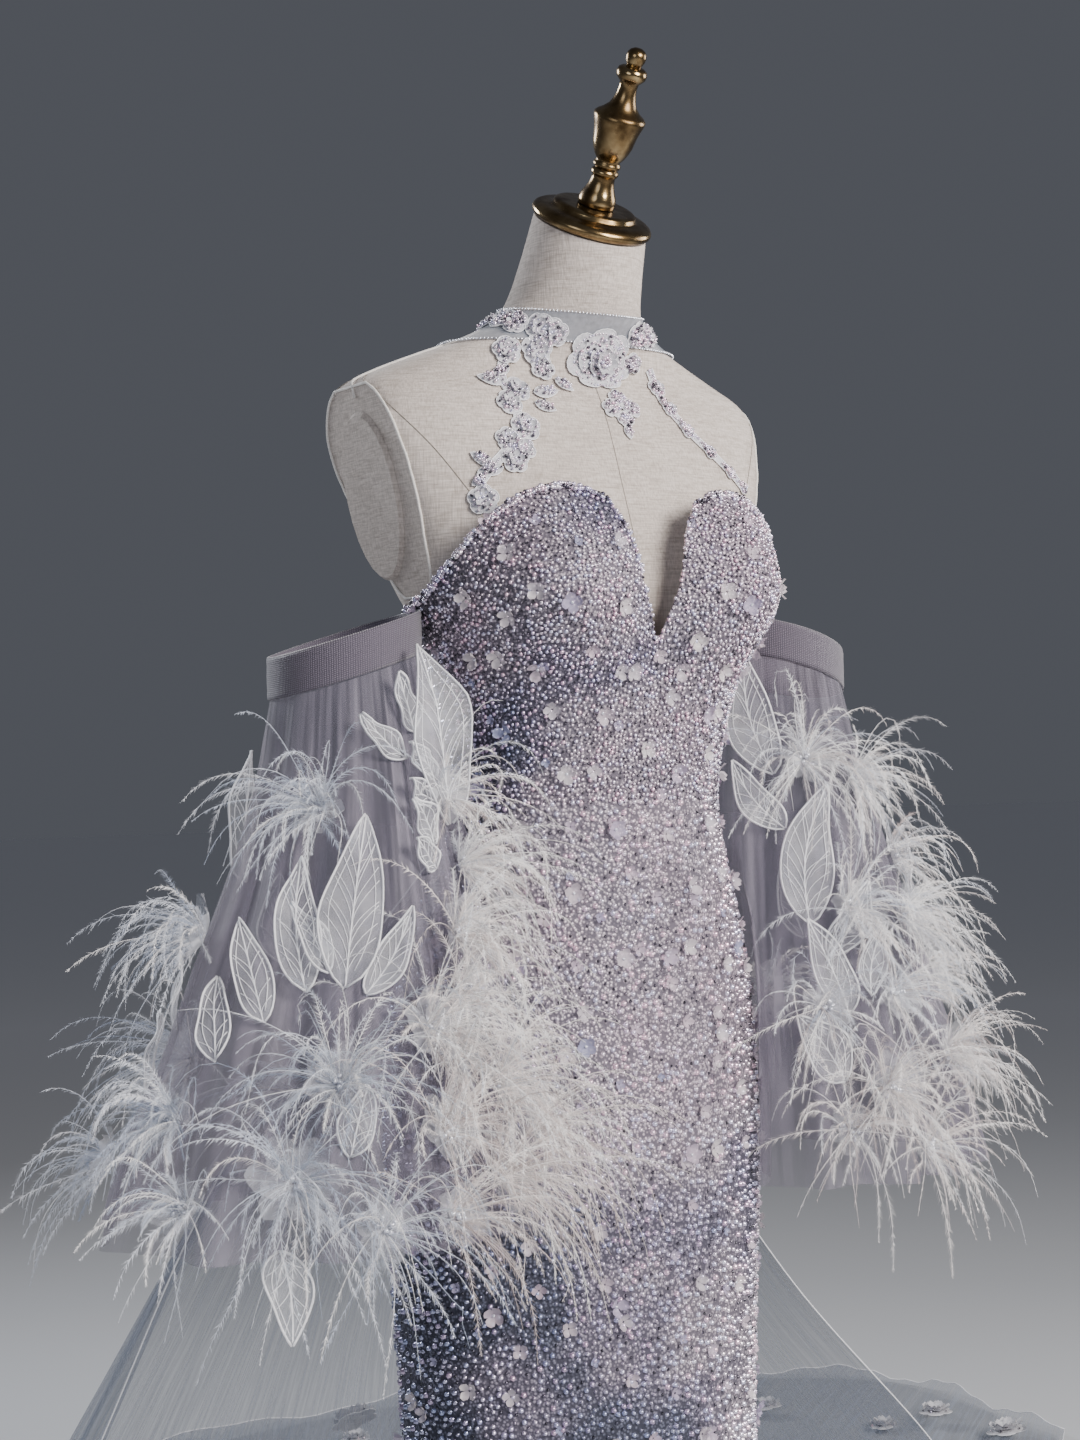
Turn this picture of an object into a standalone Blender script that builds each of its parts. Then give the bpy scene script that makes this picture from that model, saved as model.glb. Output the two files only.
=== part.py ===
"""A beaded evening gown with a lace halter collar, detached bell sleeves and a tulle train, worn
by a limbless dress form on a stand. Metres, +Z up. The form faces -Y and its right side is at -X.
"""

import math

import bmesh
import bpy
import numpy as np
from mathutils import Vector
from mathutils.bvhtree import BVHTree

# Driving sizes, in metres
SEAM_GAP = 0.0003  # between two pieces that meet at a seam or a seat
GOWN_CLOTH = 0.0020
TULLE = 0.0014
LACE = 0.0016
BAND_CLOTH = 0.0016
FORM_FOOT = 0.760  # underside of the torso
NECK_TOP = 1.547
NECK_LEAN = 31.0  # degrees that the top of the neck leans forward
BASE_RADIUS = 0.132
BASE_HEIGHT = 0.020
POLE_RADIUS = 0.016
BAND_RADIUS = 0.0665  # of the upper-arm bands, inside
BAND_HEIGHT = 0.037
BAND_TOP = 1.173  # height of the middle of a band's top rim
BAND_SLOPE_OUT = 0.308  # how fast a band falls towards its outer side
BAND_SLOPE_BACK = 0.049  # and towards the back
BAND_SEAT = 0.0005  # gap where a band touches the gown's side
ZIP_FOOT = 0.84  # lower end of the zip at the centre back
ZIP_STAND = 0.0045  # how far the train lifts over the zip
BLOSSOM_RADIUS = 0.0095  # petal flowers sewn on the gown
BLOSSOM_HEIGHT = 0.0030

# The stuffed torso. Rings from the hips to the neck: front and back are depths from the ring's
# centre, lean tips a ring forward in degrees, power squares its corners off above 2.
FIGURE = (
    # height, half_width, front, back, centre_y, lean, power
    (0.760, 0.140, 0.080, 0.112, 0.022, 0.0, 2.2),
    (0.772, 0.158, 0.094, 0.134, 0.022, 0.0, 2.2),
    (0.840, 0.166, 0.097, 0.140, 0.022, 0.0, 2.2),
    (0.900, 0.152, 0.094, 0.118, 0.015, 0.0, 2.2),
    (0.960, 0.132, 0.090, 0.096, 0.007, 0.0, 2.2),
    (1.020, 0.124, 0.093, 0.086, 0.000, 0.0, 2.2),
    (1.090, 0.128, 0.098, 0.086, 0.000, 0.0, 2.2),
    (1.150, 0.140, 0.100, 0.094, 0.002, 0.0, 2.3),
    (1.210, 0.170, 0.110, 0.102, 0.014, 0.0, 2.5),
    (1.260, 0.186, 0.112, 0.108, 0.026, 0.0, 2.7),
    (1.310, 0.206, 0.112, 0.108, 0.042, 0.0, 2.8),
    (1.350, 0.218, 0.110, 0.104, 0.054, 0.0, 2.8),
    (1.380, 0.220, 0.101, 0.092, 0.058, 0.0, 2.7),
    (1.400, 0.211, 0.089, 0.080, 0.057, 0.0, 2.5),
    (1.414, 0.185, 0.079, 0.072, 0.051, 0.0, 2.3),
    (1.430, 0.145, 0.069, 0.067, 0.038, 0.0, 2.1),
    (1.444, 0.107, 0.063, 0.064, 0.025, 0.0, 2.0),
    (1.458, 0.080, 0.060, 0.062, 0.014, 4.0, 2.0),
    (1.474, 0.066, 0.058, 0.060, 0.003, 9.0, 2.0),
    (1.505, 0.058, 0.056, 0.057, -0.012, 20.0, 2.0),
    (1.547, 0.053, 0.053, 0.053, -0.030, NECK_LEAN, 2.0),
)

# The gown's inner face, from the bust to the floor, with the same columns
GOWN = (
    # height, half_width, front, back, centre_y, lean, power
    (0.000, 0.222, 0.172, 0.215, 0.030, 0.0, 2.1),
    (0.120, 0.194, 0.146, 0.182, 0.028, 0.0, 2.1),
    (0.250, 0.174, 0.124, 0.158, 0.025, 0.0, 2.1),
    (0.400, 0.169, 0.113, 0.152, 0.025, 0.0, 2.1),
    (0.560, 0.176, 0.112, 0.158, 0.025, 0.0, 2.1),
    (0.700, 0.181, 0.113, 0.158, 0.024, 0.0, 2.2),
    (0.830, 0.175, 0.108, 0.149, 0.022, 0.0, 2.2),
    (0.900, 0.160, 0.102, 0.127, 0.015, 0.0, 2.2),
    (0.960, 0.140, 0.097, 0.103, 0.007, 0.0, 2.2),
    (1.020, 0.125, 0.094, 0.087, 0.000, 0.0, 2.2),
    (1.090, 0.134, 0.103, 0.091, 0.000, 0.0, 2.2),
    (1.150, 0.148, 0.109, 0.101, 0.002, 0.0, 2.3),
    (1.210, 0.174, 0.119, 0.111, 0.012, 0.0, 2.4),
    (1.260, 0.185, 0.122, 0.116, 0.018, 0.0, 2.4),
    (1.310, 0.189, 0.122, 0.120, 0.024, 0.0, 2.4),
)

# Cups: how far they stand forward, where their tops lie and how wide they spread
BUST_X = 0.083
BUST_HEIGHT = 1.205
BUST_SPREAD = 0.45  # share of the swell that also goes sideways
FORM_BUST = {"depth": 0.038, "inner": 0.052, "outer": 0.050, "below": 0.055, "above": 0.060}
GOWN_BUST = {"depth": 0.049, "inner": 0.082, "outer": 0.085, "below": 0.062, "above": 0.085}

# Where the flat arm plates sit on the torso's sides
ARM_PLANE_X = 0.164
ARM_PLANE_HEIGHT = 1.190
ARM_PLANE_SLOPE = 0.205
ARM_PLATE_CENTRE = (0.052, 1.300)  # y, height
ARM_PLATE_HALF = (0.047, 0.078)
ARM_PLATE_THICK = 0.004

# The gown's top edge: height at angles from the centre front, in degrees
TOP_EDGE = (
    # angle, height
    (0.0, 1.158),
    (1.5, 1.200),
    (2.5, 1.226),
    (4.5, 1.257),
    (9.0, 1.284),
    (15.0, 1.293),
    (22.0, 1.296),
    (30.0, 1.292),
    (39.0, 1.280),
    (50.0, 1.260),
    (65.0, 1.231),
    (80.0, 1.208),
    (92.0, 1.200),
    (120.0, 1.182),
    (150.0, 1.168),
    (180.0, 1.160),
)

# Bell sleeves: rings from the band to the hem. out is how far a ring's centre lies beyond the
# band's, away from the gown.
BELL_RIGHT = (
    # drop, out, centre_y, height, half_out, half_y, fold
    (0.00, 0.000, 0.020, 1.1349, 0.0665, 0.0665, 0.0008),
    (0.15, 0.005, 0.010, 1.0600, 0.0800, 0.0780, 0.004),
    (0.35, 0.021, -0.010, 0.9550, 0.1060, 0.1000, 0.007),
    (0.60, 0.045, -0.040, 0.8200, 0.1480, 0.1300, 0.010),
    (0.80, 0.060, -0.058, 0.7520, 0.1740, 0.1480, 0.012),
    (1.00, 0.069, -0.070, 0.6800, 0.1920, 0.1620, 0.014),
)
BELL_LEFT = (
    # drop, out, centre_y, height, half_out, half_y, fold
    (0.00, 0.000, 0.020, 1.1349, 0.0665, 0.0665, 0.0008),
    (0.15, 0.002, 0.018, 1.0600, 0.0800, 0.0780, 0.004),
    (0.35, 0.007, 0.014, 0.9550, 0.1000, 0.0980, 0.007),
    (0.60, 0.015, 0.008, 0.8300, 0.1280, 0.1180, 0.010),
    (0.80, 0.021, 0.002, 0.7450, 0.1440, 0.1320, 0.012),
    (1.00, 0.025, -0.004, 0.6600, 0.1560, 0.1420, 0.013),
)
SLEEVES = {"right": (-1.0, BELL_RIGHT), "left": (1.0, BELL_LEFT)}
BELL_FOLDS = 11
BELL_COLUMNS = 44
BELL_ROWS = 7
BELL_CLEAR = 0.007  # a bell hangs this far off the gown where it lies against it

# The train's lines down the cloth, from the back waist to the hem on the floor
TRAIN_LINES = {
    # line: (x, y, height) at the waist, hip, thigh, knee, calf, floor, spread and hem
    "right_edge": (
        (-0.108, 0.050, 1.000), (-0.178, 0.140, 0.860), (-0.265, 0.250, 0.660), (-0.338, 0.340, 0.430),
        (-0.400, 0.430, 0.210), (-0.460, 0.530, 0.030), (-0.500, 0.660, 0.008), (-0.530, 0.800, 0.008),
    ),
    "right_back": (
        (-0.068, 0.085, 1.000), (-0.118, 0.190, 0.860), (-0.190, 0.360, 0.650), (-0.240, 0.550, 0.410),
        (-0.270, 0.750, 0.190), (-0.280, 0.970, 0.030), (-0.270, 1.240, 0.008), (-0.250, 1.480, 0.008),
    ),
    "centre": (
        (0.000, 0.096, 1.000), (0.000, 0.212, 0.860), (0.020, 0.400, 0.660), (0.080, 0.620, 0.430),
        (0.180, 0.880, 0.210), (0.320, 1.150, 0.030), (0.510, 1.430, 0.008), (0.700, 1.690, 0.008),
    ),
    "left_back": (
        (0.068, 0.085, 1.000), (0.118, 0.190, 0.860), (0.190, 0.340, 0.680), (0.340, 0.500, 0.450),
        (0.560, 0.680, 0.225), (0.800, 0.880, 0.032), (1.100, 1.130, 0.008), (1.400, 1.360, 0.008),
    ),
    "left_edge": (
        (0.108, 0.050, 1.000), (0.176, 0.150, 0.860), (0.270, 0.235, 0.680), (0.425, 0.270, 0.480),
        (0.680, 0.345, 0.250), (0.930, 0.470, 0.034), (1.190, 0.660, 0.008), (1.430, 0.880, 0.008),
    ),
}
TRAIN_GORES = ("right", "centre", "left")
TRAIN_SEAT = 0.0008  # between the train's top edge and the gown
TRAIN_FOLDS = 9  # across the whole train
TRAIN_FOLD_DEPTH = 0.020
GORE_COLUMNS = 9
GORE_ROWS = 11

# The halter collar on the torso: angles in degrees from the centre front, heights in metres
COLLAR_HEIGHTS = (1.470, 1.460, 1.446, 1.438)
LACE_SEAT = 0.0009
BAND_LIFT = 0.00095  # of the collar's band off the neck
COLLAR_FLOWERS = (
    # name, (angle, height), radius, tall, lobes, rise
    ("collar_rose", (2.0, 1.424), 0.0255, 1.00, 6, 0.0110),
    ("collar_drop", (3.0, 1.374), 0.0135, 1.20, 5, 0.0060),
)
STRAP_RIGHT = (
    # angle, height
    (-33.0, 1.4290), (-24.0, 1.4060), (-19.0, 1.3840), (-18.0, 1.3600),
    (-24.0, 1.3370), (-32.0, 1.3190), (-40.0, 1.2990),
)
STRAP_LEFT = (
    # angle, height
    (32.0, 1.4280), (21.0, 1.4060), (18.0, 1.3840), (21.0, 1.3570), (30.0, 1.3330), (38.0, 1.3080),
)

# Organza leaves on each bell. angle is from the front towards the outer side, drop the share of
# the way down, and lean turns a leaf's tip about the cloth.
ORGANZA = 0.0012
LEAVES = {
    "right": (
        # angle, drop, length, width, lean
        (322.0, 0.275, 0.150, 0.056, 6.0),
        (341.0, 0.120, 0.045, 0.017, 4.0),
        (350.0, 0.160, 0.048, 0.018, -38.0),
        (338.0, 0.300, 0.040, 0.020, -30.0),
        (24.0, 0.490, 0.135, 0.052, 0.0),
        (38.0, 0.500, 0.100, 0.034, -12.0),
        (50.0, 0.540, 0.085, 0.030, -24.0),
        (64.0, 0.600, 0.070, 0.028, -10.0),
        (150.0, 0.340, 0.110, 0.042, 8.0),
    ),
    "left": (
        (318.0, 0.210, 0.105, 0.044, -6.0),
        (330.0, 0.460, 0.120, 0.048, 10.0),
        (343.0, 0.640, 0.090, 0.034, -16.0),
        (110.0, 0.400, 0.110, 0.042, 8.0),
        (205.0, 0.420, 0.100, 0.040, -6.0),
    ),
}

# Feather clusters: strand length and petal radius in metres
STRANDS = 8
STRAND_RADII = (0.0021, 0.0017)  # at a third and at two thirds of the length
STRAND_SAMPLES = 18  # points a strand is tested at, a multiple of three
STRAND_CLEAR = 0.006
ROOT_RINGS = (0.0055, 0.0120)  # radii between which the strands are rooted
PETAL_THICK = 0.0022
CLUSTERS = {
    "right": (
        # angle, drop, length, petal
        (42.0, 0.220, 0.095, 0.026),
        (318.0, 0.340, 0.095, 0.030),
        (336.0, 0.430, 0.100, 0.030),
        (354.0, 0.560, 0.105, 0.032),
        (24.0, 0.640, 0.100, 0.030),
        (96.0, 0.420, 0.100, 0.032),
        (76.0, 0.740, 0.090, 0.032),
        (34.0, 0.860, 0.115, 0.036),
        (354.0, 0.760, 0.110, 0.030),
        (332.0, 0.680, 0.110, 0.030),
        (336.0, 0.890, 0.120, 0.030),
        (150.0, 0.640, 0.100, 0.030),
    ),
    "left": (
        (338.0, 0.180, 0.085, 0.026),
        (14.0, 0.200, 0.085, 0.026),
        (350.0, 0.440, 0.090, 0.030),
        (20.0, 0.460, 0.090, 0.030),
        (350.0, 0.800, 0.110, 0.034),
        (22.0, 0.740, 0.085, 0.030),
        (80.0, 0.600, 0.075, 0.030),
        (160.0, 0.640, 0.095, 0.030),
    ),
}

# Colours, roughness and metallic values
FINISHES = {
    "linen": ((0.56, 0.51, 0.45), 0.90, 0.0),
    "brass": ((0.55, 0.38, 0.17), 0.30, 1.0),
    "steel": ((0.45, 0.45, 0.46), 0.35, 1.0),
    "iron": ((0.06, 0.06, 0.07), 0.50, 0.6),
    "beadwork": ((0.62, 0.58, 0.68), 0.35, 0.1),
    "band_tulle": ((0.46, 0.42, 0.50), 0.70, 0.0),
    "sleeve_tulle": ((0.40, 0.36, 0.45), 0.75, 0.0),
    "collar_tulle": ((0.48, 0.52, 0.58), 0.75, 0.0),
    "train_tulle": ((0.36, 0.40, 0.50), 0.75, 0.0),
    "beaded_lace": ((0.86, 0.84, 0.84), 0.45, 0.0),
    "organza": ((0.88, 0.88, 0.90), 0.50, 0.0),
    "feather": ((0.86, 0.83, 0.82), 0.85, 0.0),
}


def cleared_scene():
    for obj in list(bpy.data.objects):
        bpy.data.objects.remove(obj, do_unlink=True)
    collection = bpy.data.collections.new("evening_dress")
    bpy.context.scene.collection.children.link(collection)
    return collection


def finish_of(name):
    """The material of one finish, made once."""
    if name in bpy.data.materials:
        return bpy.data.materials[name]
    colour, roughness, metallic = FINISHES[name]
    material = bpy.data.materials.new(name)
    material.use_nodes = True
    shader = material.node_tree.nodes["Principled BSDF"]
    shader.inputs["Base Color"].default_value = (*colour, 1.0)
    shader.inputs["Roughness"].default_value = roughness
    shader.inputs["Metallic"].default_value = metallic
    return material


def piece(name, mesh, finish):
    """An object in the dress's collection with its own finish, shaded smooth."""
    obj = bpy.data.objects.new(name, mesh)
    COLLECTION.objects.link(obj)
    mesh.materials.append(finish_of(finish))
    mesh.shade_smooth()
    mesh.set_sharp_from_angle(angle=math.radians(35))
    return obj


def piece_from_faces(name, points, faces, finish):
    """A closed solid from points and faces, with its faces turned outwards."""
    shape = bmesh.new()
    corners = [shape.verts.new(point) for point in points]
    for face in faces:
        shape.faces.new([corners[i] for i in face])
    bmesh.ops.recalc_face_normals(shape, faces=shape.faces)
    if shape.calc_volume(signed=True) < 0:
        bmesh.ops.reverse_faces(shape, faces=shape.faces)
    bmesh.ops.triangulate(shape, faces=shape.faces)
    mesh = bpy.data.meshes.new(name)
    shape.to_mesh(mesh)
    shape.free()
    return piece(name, mesh, finish)


def tree_of(*objects):
    """A search tree of the objects' faces; their points are already in world space."""
    points, faces = [], []
    for obj in objects:
        start = len(points)
        points += [vertex.co.copy() for vertex in obj.data.vertices]
        faces += [[start + i for i in polygon.vertices] for polygon in obj.data.polygons]
    return BVHTree.FromPolygons(points, faces)


def read_table(table, key):
    """A row of the table at a value of its first column, on a smooth curve through the rows."""
    rows = np.asarray(table, float)
    keys = rows[:, 0]
    i = int(np.clip(np.searchsorted(keys, key) - 1, 0, len(keys) - 2))
    slopes = [
        (rows[min(j + 1, len(rows) - 1)] - rows[max(j - 1, 0)])
        / (keys[min(j + 1, len(rows) - 1)] - keys[max(j - 1, 0)])
        for j in (i, i + 1)
    ]
    span = keys[i + 1] - keys[i]
    t = (key - keys[i]) / span
    return (
        (2 * t**3 - 3 * t**2 + 1) * rows[i]
        + (t**3 - 2 * t**2 + t) * span * slopes[0]
        + (3 * t**2 - 2 * t**3) * rows[i + 1]
        + (t**3 - t**2) * span * slopes[1]
    )


def signed_power(value, power):
    return math.copysign(abs(value) ** power, value)


def bust_swell(x, height, bust):
    """How far the bust pushes the front forward at a point."""
    across = abs(x) - BUST_X
    width = bust["outer"] if across > 0 else bust["inner"]
    rise = height - BUST_HEIGHT
    tall = bust["above"] if rise > 0 else bust["below"]
    return bust["depth"] * math.exp(-((across / width) ** 2) - (rise / tall) ** 2)


def section_point(table, bust, angle, height):
    """A point of a body section; angle is in radians from the centre front towards +X."""
    _, half_width, front, back, centre_y, lean, power = read_table(table, height)
    x = half_width * signed_power(math.sin(angle), 2 / power)
    depth = front if math.cos(angle) > 0 else back
    away = -depth * signed_power(math.cos(angle), 2 / power)
    if math.cos(angle) > 0:
        swell = bust_swell(x, height, bust) * math.cos(angle) ** 0.5
        away -= swell
        x += math.copysign(min(abs(x), swell * BUST_SPREAD), x)
    tip = math.radians(lean)
    return Vector((x, centre_y + away * math.cos(tip), height + away * math.sin(tip)))


def figure_point(angle, height):
    point = section_point(FIGURE, FORM_BUST, angle, height)
    if height > ARM_PLANE_HEIGHT - 0.03:
        limit = ARM_PLANE_X + (height - ARM_PLANE_HEIGHT) * ARM_PLANE_SLOPE
        point.x = min(max(point.x, -limit), limit)
    return point


def gown_point(angle, height):
    return section_point(GOWN, GOWN_BUST, angle, height)


def outward(surface, angle, height):
    """The outward direction of a surface of angle and height."""
    step = 0.004
    across = surface(angle + step, height) - surface(angle - step, height)
    up = surface(angle, height + step) - surface(angle, height - step)
    return across.cross(up).normalized()


def gown_reach(x, y, height):
    """How far the gown's outer face is from its axis in the direction of a point."""
    _, half_width, front, back, centre_y, _, power = read_table(GOWN, height)
    away = y - centre_y
    depth = front if away < 0 else back
    reach = math.hypot(x, away)
    share = (abs(x) / reach / half_width) ** power + (abs(away) / reach / depth) ** power
    return share ** (-1 / power) + GOWN_CLOTH, reach, centre_y


def grid_wall(inner, outer, closed):
    """Points and faces of a cloth wall between two grids of points, rows down the cloth."""
    rows, columns = len(inner), len(inner[0])
    points = [p for row in inner for p in row] + [p for row in outer for p in row]
    shift = rows * columns
    faces, outside = [], []
    spans = columns if closed else columns - 1
    for r in range(rows - 1):
        for c in range(spans):
            a, b = r * columns + c, r * columns + (c + 1) % columns
            d, e = a + columns, b + columns
            faces.append((a, b, e, d))
            outside.append((a + shift, d + shift, e + shift, b + shift))
    for c in range(spans):
        top, top_next = c, (c + 1) % columns
        low, low_next = top + (rows - 1) * columns, top_next + (rows - 1) * columns
        faces.append((top, top + shift, top_next + shift, top_next))
        faces.append((low, low_next, low_next + shift, low + shift))
    if not closed:
        for r in range(rows - 1):
            for edge in (r * columns, r * columns + columns - 1):
                faces.append((edge, edge + columns, edge + columns + shift, edge + shift))
    return points, faces, outside


def zipped(ring, loop, points, centre, normal):
    """Triangles between a square of four corners and a smaller loop of points inside it."""
    side = (points[ring[0]] - centre).normalized()
    other = normal.cross(side)

    def bearing(i):
        arm = points[i] - centre
        return math.atan2(arm.dot(other), arm.dot(side)) % math.tau

    outer = sorted(ring, key=bearing)
    inside = sorted(loop, key=bearing)
    faces, i, j = [], 0, 0
    while i < len(outer) or j < len(inside):
        a, b = outer[i % len(outer)], inside[j % len(inside)]
        a_next, b_next = outer[(i + 1) % len(outer)], inside[(j + 1) % len(inside)]
        turn_a = bearing(a_next) + (math.tau if i + 1 >= len(outer) else 0.0)
        turn_b = bearing(b_next) + (math.tau if j + 1 >= len(inside) else 0.0)
        if j >= len(inside) or (i < len(outer) and turn_a < turn_b):
            faces.append((a, a_next, b))
            i += 1
        else:
            faces.append((a, b_next, b))
            j += 1
    return faces


def add_blossom(points, faces, corners, turn):
    """A five-petal flower with a sunk middle, raised from one outer face of a wall."""
    centre = sum((points[i] for i in corners), Vector()) / 4
    normal = (points[corners[2]] - points[corners[0]]).cross(points[corners[3]] - points[corners[1]])
    normal.normalize()
    side = (points[corners[1]] - points[corners[0]]).normalized()
    other = normal.cross(side)
    foot, rim = [], []
    for k in range(5):
        bearing = turn + k * math.tau / 5
        arm = side * math.cos(bearing) + other * math.sin(bearing)
        foot.append(len(points))
        points.append(centre + arm * BLOSSOM_RADIUS * 0.8)
        rim.append(len(points))
        points.append(centre + arm * BLOSSOM_RADIUS + normal * BLOSSOM_HEIGHT)
    middle = len(points)
    points.append(centre + normal * BLOSSOM_HEIGHT * 0.5)
    faces += zipped(list(corners), foot, points, centre, normal)
    for k in range(5):
        n = (k + 1) % 5
        faces.append((foot[k], foot[n], rim[n], rim[k]))
        faces.append((rim[k], rim[n], middle))


def cloth_wall(name, surface, angles, heights_at, thickness, finish, closed=False, blossoms=()):
    """A wall on a surface of angle and height, one row for each height of each angle."""
    inner = [[surface(a, h) for a, h in zip(angles, row)] for row in zip(*map(heights_at, angles))]
    outer = [
        [surface(a, h) + outward(surface, a, h) * thickness for a, h in zip(angles, row)]
        for row in zip(*map(heights_at, angles))
    ]
    points, faces, outside = grid_wall(inner, outer, closed)
    for k, face in enumerate(outside):
        if k in blossoms:
            add_blossom(points, faces, face, blossoms[k])
        else:
            faces.append(face)
    return piece_from_faces(name, points, faces, finish)


def turned(name, profile, steps, finish):
    """A turned solid from a profile of (radius, height) points, top to bottom."""
    mesh = bpy.data.meshes.new(name)
    mesh.from_pydata([(radius, 0, height) for radius, height in profile],
                     [(i, i + 1) for i in range(len(profile) - 1)], [])
    obj = piece(name, mesh, finish)
    screw = obj.modifiers.new("turn", "SCREW")
    screw.steps = screw.render_steps = steps
    screw.use_merge_vertices = True
    screw.merge_threshold = 0.00001
    screw.use_smooth_shade = True
    return obj


def make_form():
    """The linen torso, its arm plates, the brass neck cap and finial, the pole and the base."""
    heights = [0.760, 0.772, 0.850, 0.930, 1.020, 1.080, 1.130, 1.170, 1.205, 1.240, 1.280,
               1.320, 1.355, 1.382, 1.400, 1.414, 1.430, 1.446, 1.460, 1.478, 1.510, NECK_TOP]
    columns = 32
    points = [figure_point(math.tau * c / columns, h) for h in heights for c in range(columns)]
    faces = [tuple(range(columns)), tuple(range(len(points) - columns, len(points)))]
    for r in range(len(heights) - 1):
        for c in range(columns):
            a, b = r * columns + c, r * columns + (c + 1) % columns
            faces.append((a, b, b + columns, a + columns))
    torso = piece_from_faces("form_torso", points, faces, "linen")

    plate_y, plate_height = ARM_PLATE_CENTRE
    tilt = math.atan(ARM_PLANE_SLOPE)
    for side_name, side in (("right", -1.0), ("left", 1.0)):
        shape = bmesh.new()
        bmesh.ops.create_cone(shape, cap_ends=True, segments=24, radius1=1.0, radius2=0.95,
                              depth=ARM_PLATE_THICK)
        bmesh.ops.scale(shape, vec=(ARM_PLATE_HALF[1], ARM_PLATE_HALF[0], 1), verts=shape.verts)
        mesh = bpy.data.meshes.new(f"form_arm_plate_{side_name}")
        shape.to_mesh(mesh)
        shape.free()
        plate = piece(mesh.name, mesh, "linen")
        lift = ARM_PLATE_THICK / 2 + SEAM_GAP
        x = ARM_PLANE_X + (plate_height - ARM_PLANE_HEIGHT) * ARM_PLANE_SLOPE
        plate.location = (side * (x + lift * math.cos(tilt)), plate_y, plate_height - lift * math.sin(tilt))
        plate.rotation_euler = (0, side * (math.pi / 2 + tilt), 0)

    lean = math.radians(NECK_LEAN)
    axis = Vector((0, -math.sin(lean), math.cos(lean)))
    neck = Vector((0, FIGURE[-1][4], NECK_TOP))
    cap_height = 0.020
    cap = turned("form_neck_cap", (
        (0.000, cap_height), (0.036, cap_height), (0.039, 0.0175), (0.040, 0.0140), (0.049, 0.0132),
        (0.0545, 0.0105), (0.0565, 0.0065), (0.0550, 0.0025), (0.0515, 0.0), (0.0, 0.0)), 24, "brass")
    finial = turned("form_finial", (
        (0.0, 0.145), (0.0060, 0.1435), (0.0090, 0.138), (0.0085, 0.132), (0.0065, 0.129), (0.0120, 0.127),
        (0.0140, 0.122), (0.0120, 0.117), (0.0085, 0.114), (0.0090, 0.104), (0.0120, 0.094),
        (0.0190, 0.087), (0.0240, 0.083), (0.0232, 0.078), (0.0205, 0.070), (0.0185, 0.058),
        (0.0145, 0.047), (0.0110, 0.042), (0.0128, 0.038), (0.0102, 0.0345), (0.0128, 0.031),
        (0.0105, 0.027), (0.0120, 0.019), (0.0160, 0.011), (0.0175, 0.004), (0.0170, 0.0), (0.0, 0.0)),
        12, "brass")
    for obj, along in ((cap, SEAM_GAP), (finial, cap_height + 2 * SEAM_GAP)):
        obj.rotation_euler = (lean, 0, 0)
        obj.location = neck + axis * along

    turned("form_base", (
        (0.0, BASE_HEIGHT), (0.030, BASE_HEIGHT), (0.095, 0.014), (BASE_RADIUS - 0.006, 0.009),
        (BASE_RADIUS, 0.005), (BASE_RADIUS, 0.0), (0.0, 0.0)), 32, "iron")
    turned("form_pole", (
        (0.0, FORM_FOOT - SEAM_GAP), (0.040, FORM_FOOT - SEAM_GAP), (0.040, FORM_FOOT - 0.008),
        (POLE_RADIUS, FORM_FOOT - 0.014), (POLE_RADIUS, 0.050), (0.024, 0.044),
        (0.024, BASE_HEIGHT + SEAM_GAP), (0.0, BASE_HEIGHT + SEAM_GAP)), 12, "steel")
    return torso


def top_edge(angle):
    """The height of the gown's top edge at an angle from the centre front."""
    degrees = abs(math.degrees(angle))
    return float(np.interp(min(degrees, 360 - degrees), *zip(*TOP_EDGE)))


def gown_heights(angle):
    """Heights down the gown at one angle: close together over the bust, then even."""
    top = top_edge(angle)
    waist = 1.020
    bodice = [top + (waist - top) * share for share in (0.0, 0.14, 0.29, 0.45, 0.62, 0.81, 1.0)]
    return bodice + [0.970, 0.910, 0.850, 0.760, 0.640, 0.510, 0.380, 0.250, 0.120, 0.0]


def scattered_blossoms(rows, columns, seed, skip_rows, apart):
    """Faces of a wall that carry a flower, with each flower's turn."""
    rng = np.random.default_rng(seed)
    chosen = {}
    for r in range(skip_rows, rows):
        offset = (3 * r) % apart
        for c in range(offset + 1, columns - 1, apart):
            chosen[r * columns + c] = float(rng.uniform(0, math.tau))
    return chosen


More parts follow.
